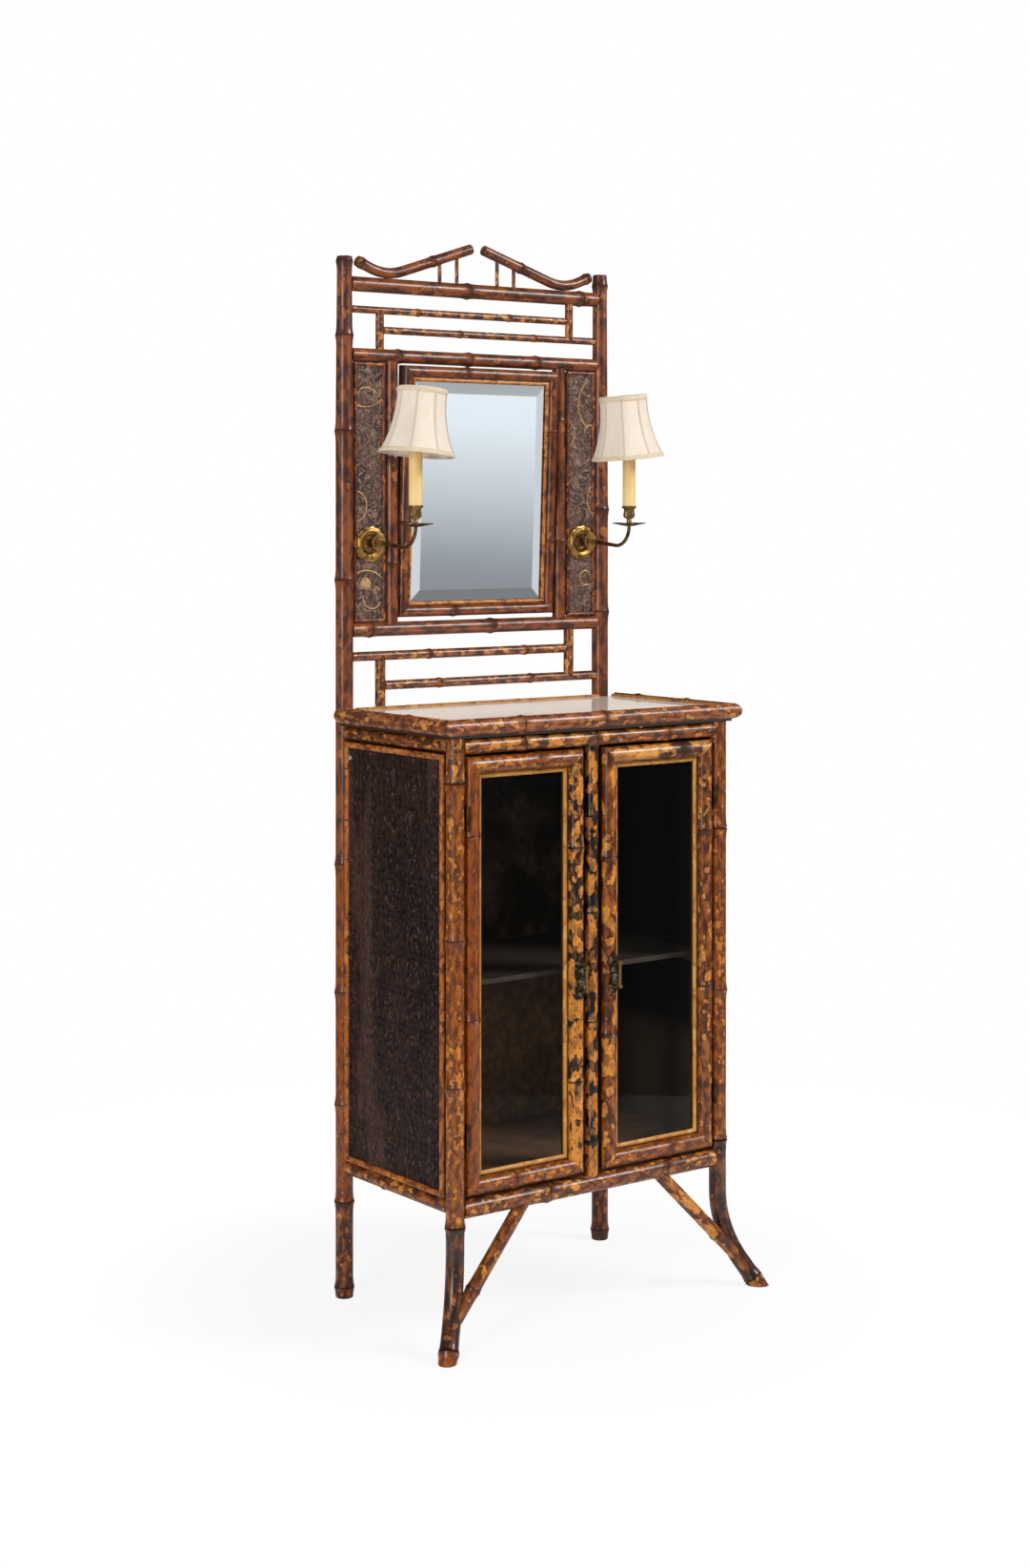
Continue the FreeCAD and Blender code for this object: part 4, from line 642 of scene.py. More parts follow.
def clear_glass():
    """Thin window glass: clear, with a reflection that grows at a glance."""
    made = Finish("clear_glass")
    gleam = made.node("ShaderNodeBsdfGlossy", {}, {"Color": (1, 1, 1, 1), "Roughness": 0.02})
    through = made.node("ShaderNodeBsdfTransparent", {}, {"Color": (0.93, 0.92, 0.90, 1)})
    edge = made.node("ShaderNodeFresnel", {}, {"IOR": 1.45})
    smear = made.noise(made.objects(), (7, 7, 3), 4.0)
    both = made.node("ShaderNodeMixShader", {}, {0: edge * (0.04 + 0.04 * smear), 1: through, 2: gleam})
    made.tree.nodes.remove(made.shader)
    made.surface(both)
    return made.material


def silvered_glass():
    """Old mirror plate, faintly uneven."""
    return mottled("silvered_glass", (6, 6, 6), ((0.93, 0.95, 0.96, 1.0), (0.86, 0.88, 0.89, 1.0)),
                   (0.015, 0.02), (4.0,), (0.5, 0.8), 0.3, metallic=1.0)


def frosted_glass():
    """Frosted bulb."""
    return mottled("frosted_glass", (60, 60, 60), ((0.86, 0.84, 0.80, 1.0), (0.78, 0.76, 0.72, 1.0)),
                   (0.3, 0.1), band=(0.3, 0.7), coat_weight=0.3, coat_roughness=0.1)


Cane = namedtuple("Cane", "start end radius joints finish")


def joint_profile(height, radius):
    """Heights and rises of one joint: a long flare, a crisp ridge, a groove and a lower ridge."""
    steps = ((-1.5, 0.0), (-0.8, 0.18), (-0.35, 0.55), (-0.12, 0.92), (-0.04, 1.0), (0.03, 0.55),
             (0.10, 0.80), (0.30, 0.45), (0.7, 0.14), (1.3, 0.0))
    return [(height + step * radius, rise) for step, rise in steps]


def cane_profile(span, radius_of, joints, swell, every=None):
    """Outline of a cane as (radius, height) pairs, closed on its axis at both ends."""
    edge = 0.0008
    points = {0.0: -edge, edge: 0.0, span - edge: 0.0, span: -edge}
    if every:
        count = int(span / every)
        points.update({span * step / count: 0.0 for step in range(1, count)})
    for joint in joints:
        radius = radius_of(joint)
        for height, rise in joint_profile(joint, radius):
            if edge < height < span - edge:
                points[height] = rise * swell * radius
    outline = [(radius_of(height) + points[height], height) for height in sorted(points)]
    return [(0.0, 0.0)] + outline + [(0.0, span)]


def lathe(profile, steps):
    """Closed round solid up +Z from (radius, height) pairs."""
    bm = bmesh.new()
    points = [bm.verts.new((radius, 0, height)) for radius, height in profile]
    lines = [bm.edges.new(pair) for pair in zip(points, points[1:])]
    bmesh.ops.spin(bm, geom=points + lines, cent=(0, 0, 0), axis=(0, 0, 1), angle=2 * math.pi, steps=steps,
                   use_merge=True)
    bmesh.ops.remove_doubles(bm, verts=bm.verts, dist=1e-6)
    bmesh.ops.recalc_face_normals(bm, faces=bm.faces)
    return bm


def turned(outline, steps):
    """Round solid from an outline in millimetres."""
    return lathe([(radius / 1000, height / 1000) for radius, height in outline], steps)


def grained(bm, radius, joints, start, finish):
    """Write the grain map, the joint tones and the finish of a cane that still stands on +Z."""
    grain = bm.loops.layers.uv.new(GRAIN)
    ring = bm.verts.layers.float.new(RING)
    fade = sizes().ring_fade * radius
    for vert in bm.verts:
        near = min((abs(vert.co.z - joint) for joint in joints), default=1.0)
        vert[ring] = math.exp(-near / fade)
    smoothed(bm, finish)
    for face in bm.faces:
        middle = face.calc_center_median()
        base = math.atan2(middle.y, middle.x)
        for loop in face.loops:
            turn = math.atan2(loop.vert.co.y, loop.vert.co.x) - base
            turn = (turn + math.pi) % (2 * math.pi) - math.pi
            loop[grain].uv = (loop.vert.co.z + start, (base + turn) * radius + start)


def smoothed(bm, finish=0):
    """Shade a shape smooth, in one finish."""
    for face in bm.faces:
        face.smooth = True
        face.material_index = finish


def placed(bm, start, end, facing):
    """Lay a shape that runs up +Z between two points, with its +X side turned to face a way."""
    along = (end - start).normalized()
    across = (facing - along * facing.dot(along)).normalized()
    turn = Matrix((across, along.cross(across), along)).transposed().to_4x4()
    turn.translation = start
    bm.transform(turn)


def sliced(bm, point, normal, keep_far):
    """Cut a closed shape with a plane and close the cut."""
    geometry = bm.verts[:] + bm.edges[:] + bm.faces[:]
    bmesh.ops.bisect_plane(bm, geom=geometry, dist=1e-7, plane_co=point, plane_no=normal,
                           clear_inner=keep_far, clear_outer=not keep_far)
    bmesh.ops.holes_fill(bm, edges=[edge for edge in bm.edges if edge.is_boundary], sides=0)


class Piece:
    """One object of the scene, gathered from several shapes."""

    def __init__(self, name, body, slot, nodes, finishes):
        self.name = name
        self.body = body
        self.slot = slot
        self.nodes = nodes
        self.finishes = finishes
        self.mesh = bpy.data.meshes.new(name)
        self.gathered = bmesh.new()
        self.count = 0

    def take(self, bm):
        """Add a finished shape."""
        carrier = bpy.data.meshes.new("carrier")
        bm.to_mesh(carrier)
        bm.free()
        self.gathered.from_mesh(carrier)
        bpy.data.meshes.remove(carrier)

    def start(self):
        """A fresh stretch of the grain map, so that no two canes look alike."""
        self.count += 1
        return 0.731 * self.count + len(self.name) * 0.37

    def index(self, finish):
        return self.finishes.index(finish)

    def round_cane(self, cane, facing=FRONT, radius_of=None, bend=None):
        """Add a whole cane, straight or bent."""
        span = (cane.end - cane.start).length
        shape = radius_of or (lambda height: cane.radius)
        every = BEND_STEP if bend else None
        bm = lathe(cane_profile(span, shape, cane.joints, sizes().ring_swell, every), sizes().steps)
        grained(bm, cane.radius, cane.joints, self.start(), self.index(cane.finish))
        placed(bm, cane.start, cane.end, facing)
        if bend:
            bend(bm)
        self.take(bm)

    def retone(self, finish, below):
        """Give what lies below a height another finish."""
        for face in self.gathered.faces:
            if face.calc_center_median().z < below:
                face.material_index = self.index(finish)

    def half_round(self, start, end, radius, facing, edge, mitres, joints, finish):
        """Add half a cane with its flat back on the line from start to end, mitred towards an edge."""
        span = (end - start).length
        rings = [share * span for share in joints]
        bm = lathe(cane_profile(span, lambda height: radius, rings, sizes().ring_swell), sizes().steps)
        grained(bm, radius, rings, self.start(), self.index(finish))
        sliced(bm, (0, 0, 0), RIGHT, True)
        if mitres[0]:
            sliced(bm, edge * radius, UP + edge, True)
        if mitres[1]:
            sliced(bm, edge * radius + UP * span, UP - edge, False)
        placed(bm, start, end, facing)
        self.take(bm)

    def strip(self, start, end, width, facing, mitres, joints, finish):
        """Add a half-round strip whose outer edge runs from start to end, to the left as it is faced."""
        inward = facing.cross((end - start).normalized()) * width / 2
        self.half_round(start + inward, end + inward, width / 2, facing, -FRONT, mitres, joints, finish)

    def frame(self, corners, width, facing, joints, finishes):
        """Add four mitred strips round a rectangle: bottom, right, top and left."""
        ends = corners[1:] + corners[:1]
        for start, end, rings, finish in zip(corners, ends, joints, finishes):
            self.strip(start, end, width, facing, (True, True), rings, finish)

    def finish(self):
        """Make the object and tie it to its body."""
        self.gathered.to_mesh(self.mesh)
        self.gathered.free()
        self.mesh.set_sharp_from_angle(angle=SHARP_ANGLE)
        made = bpy.data.objects.new(self.name, self.mesh)
        bpy.context.scene.collection.objects.link(made)
        for finish in self.finishes:
            self.mesh.materials.append(materials()[finish])
        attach(made, self.body)
        if self.nodes:
            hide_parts(*self.nodes)
        return made


def materials():
    """Every finish of the cabinet by name, made once."""
    if FINISHES:
        return FINISHES
    for name, tone in bamboo_finishes().items():
        FINISHES[name] = bamboo(name, tone)
    metals = {
        "gilt_metal": (tint("gilt"), paint(116, 84, 42), 0.52, 0.28),
        "gilt_line": (paint(206, 164, 110), paint(160, 124, 84), 0.56, 0.45, 0.3),
        "aged_brass": (tint("brass"), paint(112, 86, 50), 0.50, 0.28),
        "hinge_brass": (paint(98, 72, 42), paint(58, 42, 28), 0.5, 0.38),
        "dome_brass": (paint(150, 112, 62), paint(86, 62, 36), 0.5, 0.32),
        "steel_screw": (paint(236, 230, 220), paint(150, 142, 132), 0.5, 0.3),
        "pin_steel": (paint(60, 46, 38), paint(34, 26, 22), 0.5, 0.4),
    }
    for name, look in metals.items():
        FINISHES[name] = aged_metal(name, *look)
    plain = {
        "dusty_board": (74, 66, 58, 0.5),
        "lampholder": (226, 218, 200, 0.4),
        "shade_wire": (222, 212, 192, 0.45),
    }
    for name, look in plain.items():
        FINISHES[name] = pale_plastic(name, *look)
    FINISHES.update({
        "embossed_paper": embossed_paper(),
        "wing_paper": wing_paper(),
        "lining_paper": lining_paper(),
        "stained_wood": stained_wood(),
        "table_lacquer": table_lacquer(),
        "arm_bronze": arm_bronze(),
        "pull_bronze": pull_bronze(),
        "shade_silk": silk(),
        "shade_tape": tape(),
        "candle_wax": candle_wax(),
        "clear_glass": clear_glass(),
        "silvered_glass": silvered_glass(),
        "frosted_glass": frosted_glass(),
    })
    return FINISHES


FINISHES = {}


class Dressing(bpy.types.Operator):
    """Shared run of the cabinet's operators."""
    bl_options = {"REGISTER", "UNDO"}

    def execute(self, context):
        self.dress()
        return {"FINISHED"}


def bent_leg(side):
    """Bend a straight leg outwards below its knee, and cut it level with the floor."""
    knee_z = SPLAY_BEND_R * math.sin(SPLAY) + FOOT_RUN * math.cos(SPLAY)
    knee = Vector((side * POST_X, FRONT_Y, knee_z))
    out = Vector((side, -1, 0)).normalized()

    def bend(bm):
        for vert in bm.verts:
            below = knee_z - vert.co.z
            if below <= 0:
                continue
            flat = vert.co - knee
            reach = flat.dot(out)
            turn = min(below / SPLAY_BEND_R, SPLAY)
            rest = max(below - SPLAY_BEND_R * SPLAY, 0.0)
            axis_out = SPLAY_BEND_R * (1 - math.cos(turn)) + rest * math.sin(turn)
            axis_down = SPLAY_BEND_R * math.sin(turn) + rest * math.cos(turn)
            sideways = flat - out * reach - UP * flat.z
            vert.co = (knee + sideways + out * (axis_out + reach * math.cos(turn))
                       + UP * (reach * math.sin(turn) - axis_down))
        sliced(bm, (0, 0, 0), (0, 0, 1), True)

    return bend


def foot_axis(side, height):
    """Point on a splayed foot's axis at a height above the floor."""
    drop = (FOOT_RUN * math.cos(SPLAY) - height) / math.cos(SPLAY)
    spread = (SPLAY_BEND_R * (1 - math.cos(SPLAY)) + drop * math.sin(SPLAY)) / math.sqrt(2)
    return Vector((side * (POST_X + spread), FRONT_Y - spread, height))


class CABINET_OT_posts(Dressing):
    """Rear posts, and front legs with splayed feet."""
    bl_idname = "cabinet.posts"
    bl_label = "Posts and legs"

    def dress(self):
        def taper(height):
            share = max(0.0, (height - POST_TAPER_START) / (POST_HEIGHT - POST_TAPER_START))
            return POST_R + share * (POST_TIP_R - POST_R)

        for name, side in SIDES.items():
            joints = REAR_JOINTS[name]
            foot = Vector((side * POST_X, REAR_Y, 0))
            post = Piece(name + "_rear_cane", "cabinet", "dark_bamboo", [name + "_rear_post"],
                         ["dark_cane", "even_cane", "russet_cane"])
            post.round_cane(Cane(foot, foot + UP * POST_HEIGHT, POST_R, joints, "dark_cane"), radius_of=taper)
            post.retone("even_cane", joints[4])
            post.retone("russet_cane", joints[1])
            post.finish()

        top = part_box("left_front_leg")[1].z
        spare = 2 * POST_R
        buried = SPLAY_BEND_R * (SPLAY - math.sin(SPLAY)) + FOOT_RUN * (1 - math.cos(SPLAY)) + spare
        for name, side in SIDES.items():
            joints = FRONT_JOINTS[name]
            foot = Vector((side * POST_X, FRONT_Y, -buried))
            rings = [spare + FOOT_JOINT] + [joint + buried for joint in joints]
            leg = Piece(name + "_front_cane", "cabinet", "tortoise_bamboo", [name + "_front_leg"],
                        ["amber_cane", "fret_cane", "leg_cane", "worn_cane"])
            knot = Vector((foot.x, foot.y, joints[0]))
            head = Vector((foot.x, foot.y, joints[-1]))
            tip = Vector((foot.x, foot.y, top))
            ankle = foot + UP * rings[0]
            leg.round_cane(Cane(foot, ankle, POST_R, rings[:1], "worn_cane"), bend=bent_leg(side))
            leg.round_cane(Cane(ankle, knot, POST_R, [0.0, rings[1] - rings[0]], "leg_cane"),
                           bend=bent_leg(side))
            leg.round_cane(Cane(knot, head, POST_R, [joint - knot.z for joint in joints], "amber_cane"))
            leg.round_cane(Cane(head, tip, POST_R, [0.0], "fret_cane" if side < 0 else "amber_cane"))
            leg.finish()


def between_posts(height, y, radius, shares, finish, gap=POST_R):
    """Cane from post to post."""
    start = Vector((-POST_X + gap - SCRIBE, y, height))
    end = Vector((POST_X - gap + SCRIBE, y, height))
    return Cane(start, end, radius, [share * (end.x - start.x) for share in shares], finish)


def fret_canes(fret, floor, ceiling, joints):
    """Canes of one stepped fret: two rails and two uprights."""
    high, low, upright = fret["high"], fret["low"], fret["upright_x"]
    reach = POST_X - POST_R + SCRIBE
    inner = upright - fret["upright_r"] + FRET_SCRIBE
    spans = (
        (at_rear(-reach, high), at_rear(inner, high), fret["rail_r"]),
        (at_rear(-inner, low), at_rear(reach, low), fret["rail_r"]),
        (at_rear(-upright, floor), at_rear(-upright, high), fret["upright_r"]),
        (at_rear(upright, low), at_rear(upright, ceiling), fret["upright_r"]),
    )
    return [Cane(start, end, radius, [share * (end - start).length for share in shares], "fret_cane")
            for (start, end, radius), shares in zip(spans, joints)]


class CABINET_OT_rails(Dressing):
    """Rails, struts, frets and the canes beside the mirror and between the doors."""
    bl_idname = "cabinet.rails"
    bl_label = "Rails and frets"

    def dress(self):
        crest_z = middle_of("crest_rail").z
        upper_z = middle_of("upper_cross_rail").z
        lower_z = middle_of("lower_cross_rail").z
        board_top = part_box("top_board")[1].z
        bottom_z = middle_of("front_bottom_rail").z
        braces = []
        for side, finish in ((-1, "fret_cane"), (1, "worn_cane")):
            top = Vector((side * BRACE_TOP_X, FRONT_Y, bottom_z))
            foot = foot_axis(side, BRACE_FOOT_Z)
            braces.append(Cane(top, foot, BRACE_R, [0.72 * (foot - top).length], finish))
        side_canes = []
        for side in SIDES.values():
            for height, share in zip(SIDE_RAIL_Z, (0.62, 0.38)):
                start = Vector((side * POST_X, FRONT_Y + POST_R - SCRIBE, height))
                end = Vector((side * POST_X, REAR_Y - POST_R + SCRIBE, height))
                side_canes.append(Cane(start, end, SIDE_RAIL_R, [share * (end.y - start.y)], "fret_cane"))
        stiles = []
        for side, shares in ((-1, (0.23, 0.63)), (1, (0.31, 0.79))):
            start = at_rear(side * STILE_X, lower_z + STILE_SEAT * LOWER_CROSS_R)
            end = at_rear(side * STILE_X, upper_z - STILE_SEAT * UPPER_CROSS_R)
            rings = [share * (end.z - start.z) for share in shares]
            stiles.append(Cane(start, end, STILE_R, rings, "dark_cane"))
        post_low, post_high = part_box("centre_post")
        post_y = (post_low.y + post_high.y) / 2
        post_span = post_high.z - post_low.z
        centre = Cane(Vector((0, post_y, post_low.z)), Vector((0, post_y, post_high.z)), CENTRE_POST_R,
                      [share * post_span for share in (0.087, 0.36, 0.61, 0.832)], "ebony_cane")
        rails = {
            "front_top_rail": (middle_of("front_top_rail").z, FRONT_Y, FRONT_TOP_RAIL_R, (0.226, 0.506, 0.8),
                               "worn_cane"),
            "front_bottom_rail": (bottom_z, FRONT_Y, FRONT_BOTTOM_RAIL_R, (0.318, 0.788), "fret_cane"),
            "crest_rail": (crest_z, REAR_Y, CREST_R, (0.46, 0.93), "dark_cane", POST_TIP_R),
            "upper_cross_rail": (upper_z, REAR_Y, UPPER_CROSS_R, (0.182, 0.465, 0.744), "dark_cane"),
            "lower_cross_rail": (lower_z, REAR_Y, LOWER_CROSS_R, (0.071, 0.555), "dark_cane"),
        }
        groups = {node: [between_posts(*rail)] for node, rail in rails.items()}
        groups.update({
            "front_leg_braces": braces,
            "side_rails": side_canes,
            "mirror_stiles": stiles,
            "centre_post": [centre],
            "upper_fret": fret_canes(UPPER_FRET, upper_z + FRET_SEAT * UPPER_CROSS_R,
                                     crest_z - FRET_SEAT * CREST_R, ((0.3, 0.72), (0.35, 0.7), (), ())),
            "lower_fret": fret_canes(LOWER_FRET, board_top, lower_z - FRET_SEAT * LOWER_CROSS_R,
                                     ((0.35, 0.8), (0.25, 0.68), (), ())),
        })
        front = ("front_top_rail", "front_bottom_rail", "side_rails", "centre_post")
        for node, canes in groups.items():
            slot = "tortoise_bamboo" if node in front else "dark_bamboo"
            piece = Piece(node + "_cane", "cabinet", slot, [node], sorted({cane.finish for cane in canes}))
            for cane in canes:
                piece.round_cane(cane, facing=Vector((cane.start.x, 0, 0)) if node == "side_rails" else FRONT)
            piece.finish()


class CABINET_OT_crest(Dressing):
    """Bent canes on the crest rail, and the sticks under their raised ends."""
    bl_idname = "cabinet.crest"
    bl_label = "Crest scrolls"

    def dress(self):
        low_z = middle_of("crest_rail").z + CREST_R + SCROLL_R
        drop = SCROLL_INNER.z - low_z - SCROLL_BEND_R * (1 - math.cos(SCROLL_INNER_SLOPE))
        inner_run = drop / math.sin(SCROLL_INNER_SLOPE)
        turn = SCROLL_INNER_SLOPE + SCROLL_OUTER_SLOPE
        bend_run = SCROLL_BEND_R * turn
        bend_end_x = (SCROLL_INNER.x + inner_run * math.cos(SCROLL_INNER_SLOPE)
                      + SCROLL_BEND_R * (math.sin(SCROLL_INNER_SLOPE) + math.sin(SCROLL_OUTER_SLOPE)))
        outer_run = (SCROLL_OUTER_X - bend_end_x) / math.cos(SCROLL_OUTER_SLOPE)
        span = inner_run + bend_run + outer_run

        def bend_for(side, start, along):
            rise = Vector((-along.z * side, 0, along.x * side))

            def bend(bm):
                for vert in bm.verts:
                    flat = vert.co - start
                    run, lift = flat.dot(along) - inner_run, flat.dot(rise)
                    if run <= 0:
                        continue
                    angle = min(run / SCROLL_BEND_R, turn)
                    rest = max(run - bend_run, 0.0)
                    forward = inner_run + (SCROLL_BEND_R - lift) * math.sin(angle) + rest * math.cos(angle)
                    upward = SCROLL_BEND_R - (SCROLL_BEND_R - lift) * math.cos(angle) + rest * math.sin(angle)
                    vert.co = start + along * forward + rise * upward + FRONT * flat.dot(FRONT)

            return bend

        scrolls = Piece("crest_scroll_canes", "cabinet", "dark_bamboo", ["crest_scrolls"], ["dark_cane"])
        sticks = Piece("crest_sticks", "cabinet", "dark_bamboo", ["crest_spindles"], ["fret_cane"])
        for side in SIDES.values():
            start = at_rear(side * SCROLL_INNER.x, SCROLL_INNER.z)
            along = Vector((side * math.cos(SCROLL_INNER_SLOPE), 0, -math.sin(SCROLL_INNER_SLOPE)))
            joints = [0.56 * inner_run, inner_run + bend_run + 0.7 * outer_run]
            scrolls.round_cane(Cane(start, start + along * span, SCROLL_R, joints, "dark_cane"),
                               bend=bend_for(side, start, along))
            for x in SPINDLE_X:
                top = SCROLL_INNER.z - (x - SCROLL_INNER.x) * math.tan(SCROLL_INNER_SLOPE)
                foot = at_rear(side * x, middle_of("crest_rail").z + FRET_SEAT * CREST_R)
                sticks.round_cane(Cane(foot, at_rear(side * x, top), SPINDLE_R, (), "fret_cane"))
        scrolls.finish()
        sticks.finish()


def rectangle(low, high, origin, across=RIGHT, up=UP):
    """Corners of a rectangle on a face: bottom left, bottom right, top right, top left."""
    return [origin + across * x + up * z for x, z in
            ((low[0], low[1]), (high[0], low[1]), (high[0], high[1]), (low[0], high[1]))]


class CABINET_OT_door_canes(Dressing):
    """Half-round bamboo and cane beads on the faces of the doors."""
    bl_idname = "cabinet.door_canes"
    bl_label = "Door canes"

    joints = {
        "left": ((0.4,), (0.22, 0.77), (0.38,), (0.18, 0.6)),
        "right": ((0.6,), (0.4, 0.78), (0.3,), (0.26, 0.68)),
    }
    faces = {
        "left": ("amber_cane", "panther_cane", "amber_cane", "even_cane"),
        "right": ("amber_cane", "fret_cane", "tortoise_cane", "gold_cane"),
    }

    def dress(self):
        for name in SIDES:
            low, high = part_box(name + "_door_bamboo")
            origin = Vector((0, FRONT_Y, 0))
            corners = rectangle((low.x, low.z), (high.x, high.z), origin)
            canes = Piece(name + "_door_canes", name + "_door", "tortoise_bamboo", [name + "_door_bamboo"],
                          sorted(set(self.faces[name])))
            canes.frame(corners, DOOR_STILE, FRONT, self.joints[name], self.faces[name])
            canes.finish()
            low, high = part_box(name + "_door_beads")
            corners = rectangle((low.x, low.z), (high.x, high.z), Vector((0, high.y, 0)))
            beads = Piece(name + "_door_cane_beads", name + "_door", "gold_cane", [name + "_door_beads"],
                          ["split_cane", "pin_steel"])
            beads.frame(corners, DOOR_BEAD, FRONT, ((0.5,), (0.3, 0.8), (0.4,), (0.2, 0.65)),
                        ["split_cane"] * 4)
            brads(beads, corners, DOOR_BEAD, FRONT)
            beads.finish()


def brads(piece, corners, width, facing):
    """Pin heads along the strips of a frame."""
    radius, spacing = sizes().brad_radius, sizes().brad_spacing
    for start, end in zip(corners, corners[1:] + corners[:1]):
        span = (end - start).length
        along = (end - start).normalized()
        inward = facing.cross(along)
        count = max(1, round(span / spacing))
        for place in range(count):
            share = (place + 0.5) / count
            point = start + along * span * share + inward * width / 2 + facing * width / 2
            bm = bmesh.new()
            bmesh.ops.create_icosphere(bm, subdivisions=1, radius=radius)
            bmesh.ops.scale(bm, vec=(1, 1, 0.6), verts=bm.verts)
            smoothed(bm, piece.index("pin_steel"))
            placed(bm, point, point + facing, along)
            piece.take(bm)


class CABINET_OT_mirror_canes(Dressing):
    """Half-round bamboo and cane bead of the mirror's frame."""
    bl_idname = "cabinet.mirror_canes"
    bl_label = "Mirror frame"

    def dress(self):
        pivot = at_rear(0, middle_of("mirror_pivots").z)
        turn = Matrix.Rotation(MIRROR_TILT, 3, "X")
        up, facing = turn @ UP, turn @ FRONT
        low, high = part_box("mirror_tray")
        half_x = high.x
        slant = MIRROR_TRAY_FACE * math.sin(MIRROR_TILT)
        half_z = ((high.z - low.z) / 2 - slant) / math.cos(MIRROR_TILT)
        origin = pivot + facing * MIRROR_TRAY_FACE
        canes = Piece("mirror_canes", "mirror", "dark_bamboo", ["mirror_frame"], ["dark_cane"])
        corners = rectangle((-half_x, -half_z), (half_x, half_z), origin, up=up)
        canes.frame(corners, MIRROR_MOULD, facing, ((0.35,), (0.3, 0.75), (0.6,), (0.25, 0.62)),
                    ["dark_cane"] * 4)
        canes.finish()
        bead_x, bead_z = half_x - MIRROR_MOULD, half_z - MIRROR_MOULD
        corners = rectangle((-bead_x, -bead_z), (bead_x, bead_z), origin, up=up)
        beads = Piece("mirror_cane_bead", "mirror", "gold_cane", ["mirror_bead"],
                      ["mirror_bead", "pin_steel"])
        beads.frame(corners, MIRROR_BEAD, facing, ((0.3,), (0.6,), (0.4,), (0.7,)), ["mirror_bead"] * 4)
        brads(beads, corners, MIRROR_BEAD, facing)
        beads.finish()


class CABINET_OT_panel_beads(Dressing):
    """Cane beads round the side panels and the papered panels."""
    bl_idname = "cabinet.panel_beads"
    bl_label = "Panel beads"

    def dress(self):
        sides = Piece("side_cane_beads", "cabinet", "gold_cane", ["side_panel_beads"],
                      ["amber_bead", "pin_steel", "steel_screw"])
        low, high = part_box("side_panel_beads")
        for name, side in SIDES.items():
            panel_low, panel_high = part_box(name + "_side_panel")
            face_x = panel_low.x if side < 0 else panel_high.x
            facing = Vector((side, 0, 0))
            across = Vector((0, side, 0))
            ends = sorted((side * low.y, side * high.y))
            corners = rectangle((ends[0], low.z), (ends[1], high.z), Vector((face_x, 0, 0)), across)
            sides.frame(corners, SIDE_BEAD, facing, ((0.5,), (0.45,), (0.6,), (0.28, 0.56)),
                        ["amber_bead"] * 4)
            brads(sides, corners, SIDE_BEAD, facing)
        screw_y = high.y - SIDE_BEAD - SCREW_FROM_BEAD
        self.screw(sides, Vector((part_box("left_side_panel")[0].x, screw_y, high.z - SCREW_FROM_TOP)))
        sides.finish()

        wings = Piece("wing_cane_beads", "cabinet", "gold_cane", ["wing_beads"], ["wing_bead", "pin_steel"])
        low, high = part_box("wing_panels")
        wing_in_x = 2 * SCONCE_X - high.x
        foot = middle_of("lower_cross_rail").z + LOWER_CROSS_R
        head = middle_of("upper_cross_rail").z - UPPER_CROSS_R
        for side in SIDES.values():
            xs = sorted((side * high.x, side * wing_in_x))
            corners = rectangle((xs[0], foot), (xs[1], head), Vector((0, low.y, 0)))
            wings.frame(corners, WING_BEAD, FRONT, ((), (0.3, 0.7), (), (0.25, 0.6)), ["wing_bead"] * 4)
            brads(wings, corners, WING_BEAD, FRONT)
        wings.finish()

    def screw(self, piece, point):
        """Round-headed screw in the rear strip of the left side."""
        bm = bmesh.new()
        bmesh.ops.create_uvsphere(bm, u_segments=16, v_segments=10, radius=SCREW_R)
        sliced(bm, (0, 0, 0), UP, True)
        bmesh.ops.scale(bm, vec=(1, 1, 0.9), verts=bm.verts)
        smoothed(bm, piece.index("steel_screw"))
        placed(bm, point, point - RIGHT, UP)
        piece.take(bm)


class CABINET_OT_table_edge(Dressing):
    """Half-round bamboo nosing of the table top, and the cane beads on its face."""
    bl_idname = "cabinet.table_edge"
    bl_label = "Table edge"

    def dress(self):
        low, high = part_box("top_nosing")
        level = high.z - NOSING_R
        nosing = Piece("table_nosing_canes", "cabinet", "dark_bamboo", ["top_nosing"], ["nosing_cane"])
        corners = [Vector((low.x, high.y, level)), Vector((low.x, low.y, level)),
                   Vector((high.x, low.y, level)), Vector((high.x, high.y, level))]
        facings = (-RIGHT, FRONT, RIGHT)
        rings = ((0.16, 0.62), (0.246, 0.515), (0.4, 0.8))
        for index, (facing, shares) in enumerate(zip(facings, rings)):
            start, end = (corner - facing * NOSING_R for corner in corners[index:index + 2])
            nosing.half_round(start, end, NOSING_R, facing, RIGHT, (index > 0, index < 2), shares,
                              "nosing_cane")
        nosing.finish()

        low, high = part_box("top_beads")
        beads = Piece("table_cane_beads", "cabinet", "gold_cane", ["top_beads"], ["table_bead", "pin_steel"])
        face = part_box("top_board")[1].z
        front_left, front_right = Vector((low.x, low.y, face)), Vector((high.x, low.y, face))
        side_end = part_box("top_nosing")[1].y
        rear_left, rear_right = Vector((low.x, side_end, face)), Vector((high.x, side_end, face))
        inner = POST_X - POST_R
        strips = (
            (front_left, front_right, (True, True), (0.3, 0.7)),
            (front_right, rear_right, (True, False), (0.5,)),
            (rear_left, front_left, (False, True), (0.5,)),
            (Vector((inner, high.y, face)), Vector((-inner, high.y, face)), (False, False), (0.35, 0.8)),
        )
        for start, end, mitres, shares in strips:
            beads.strip(start, end, TOP_BEAD, UP, mitres, shares, "table_bead")
        brads(beads, [front_left, front_right], TOP_BEAD, UP)
        beads.finish()


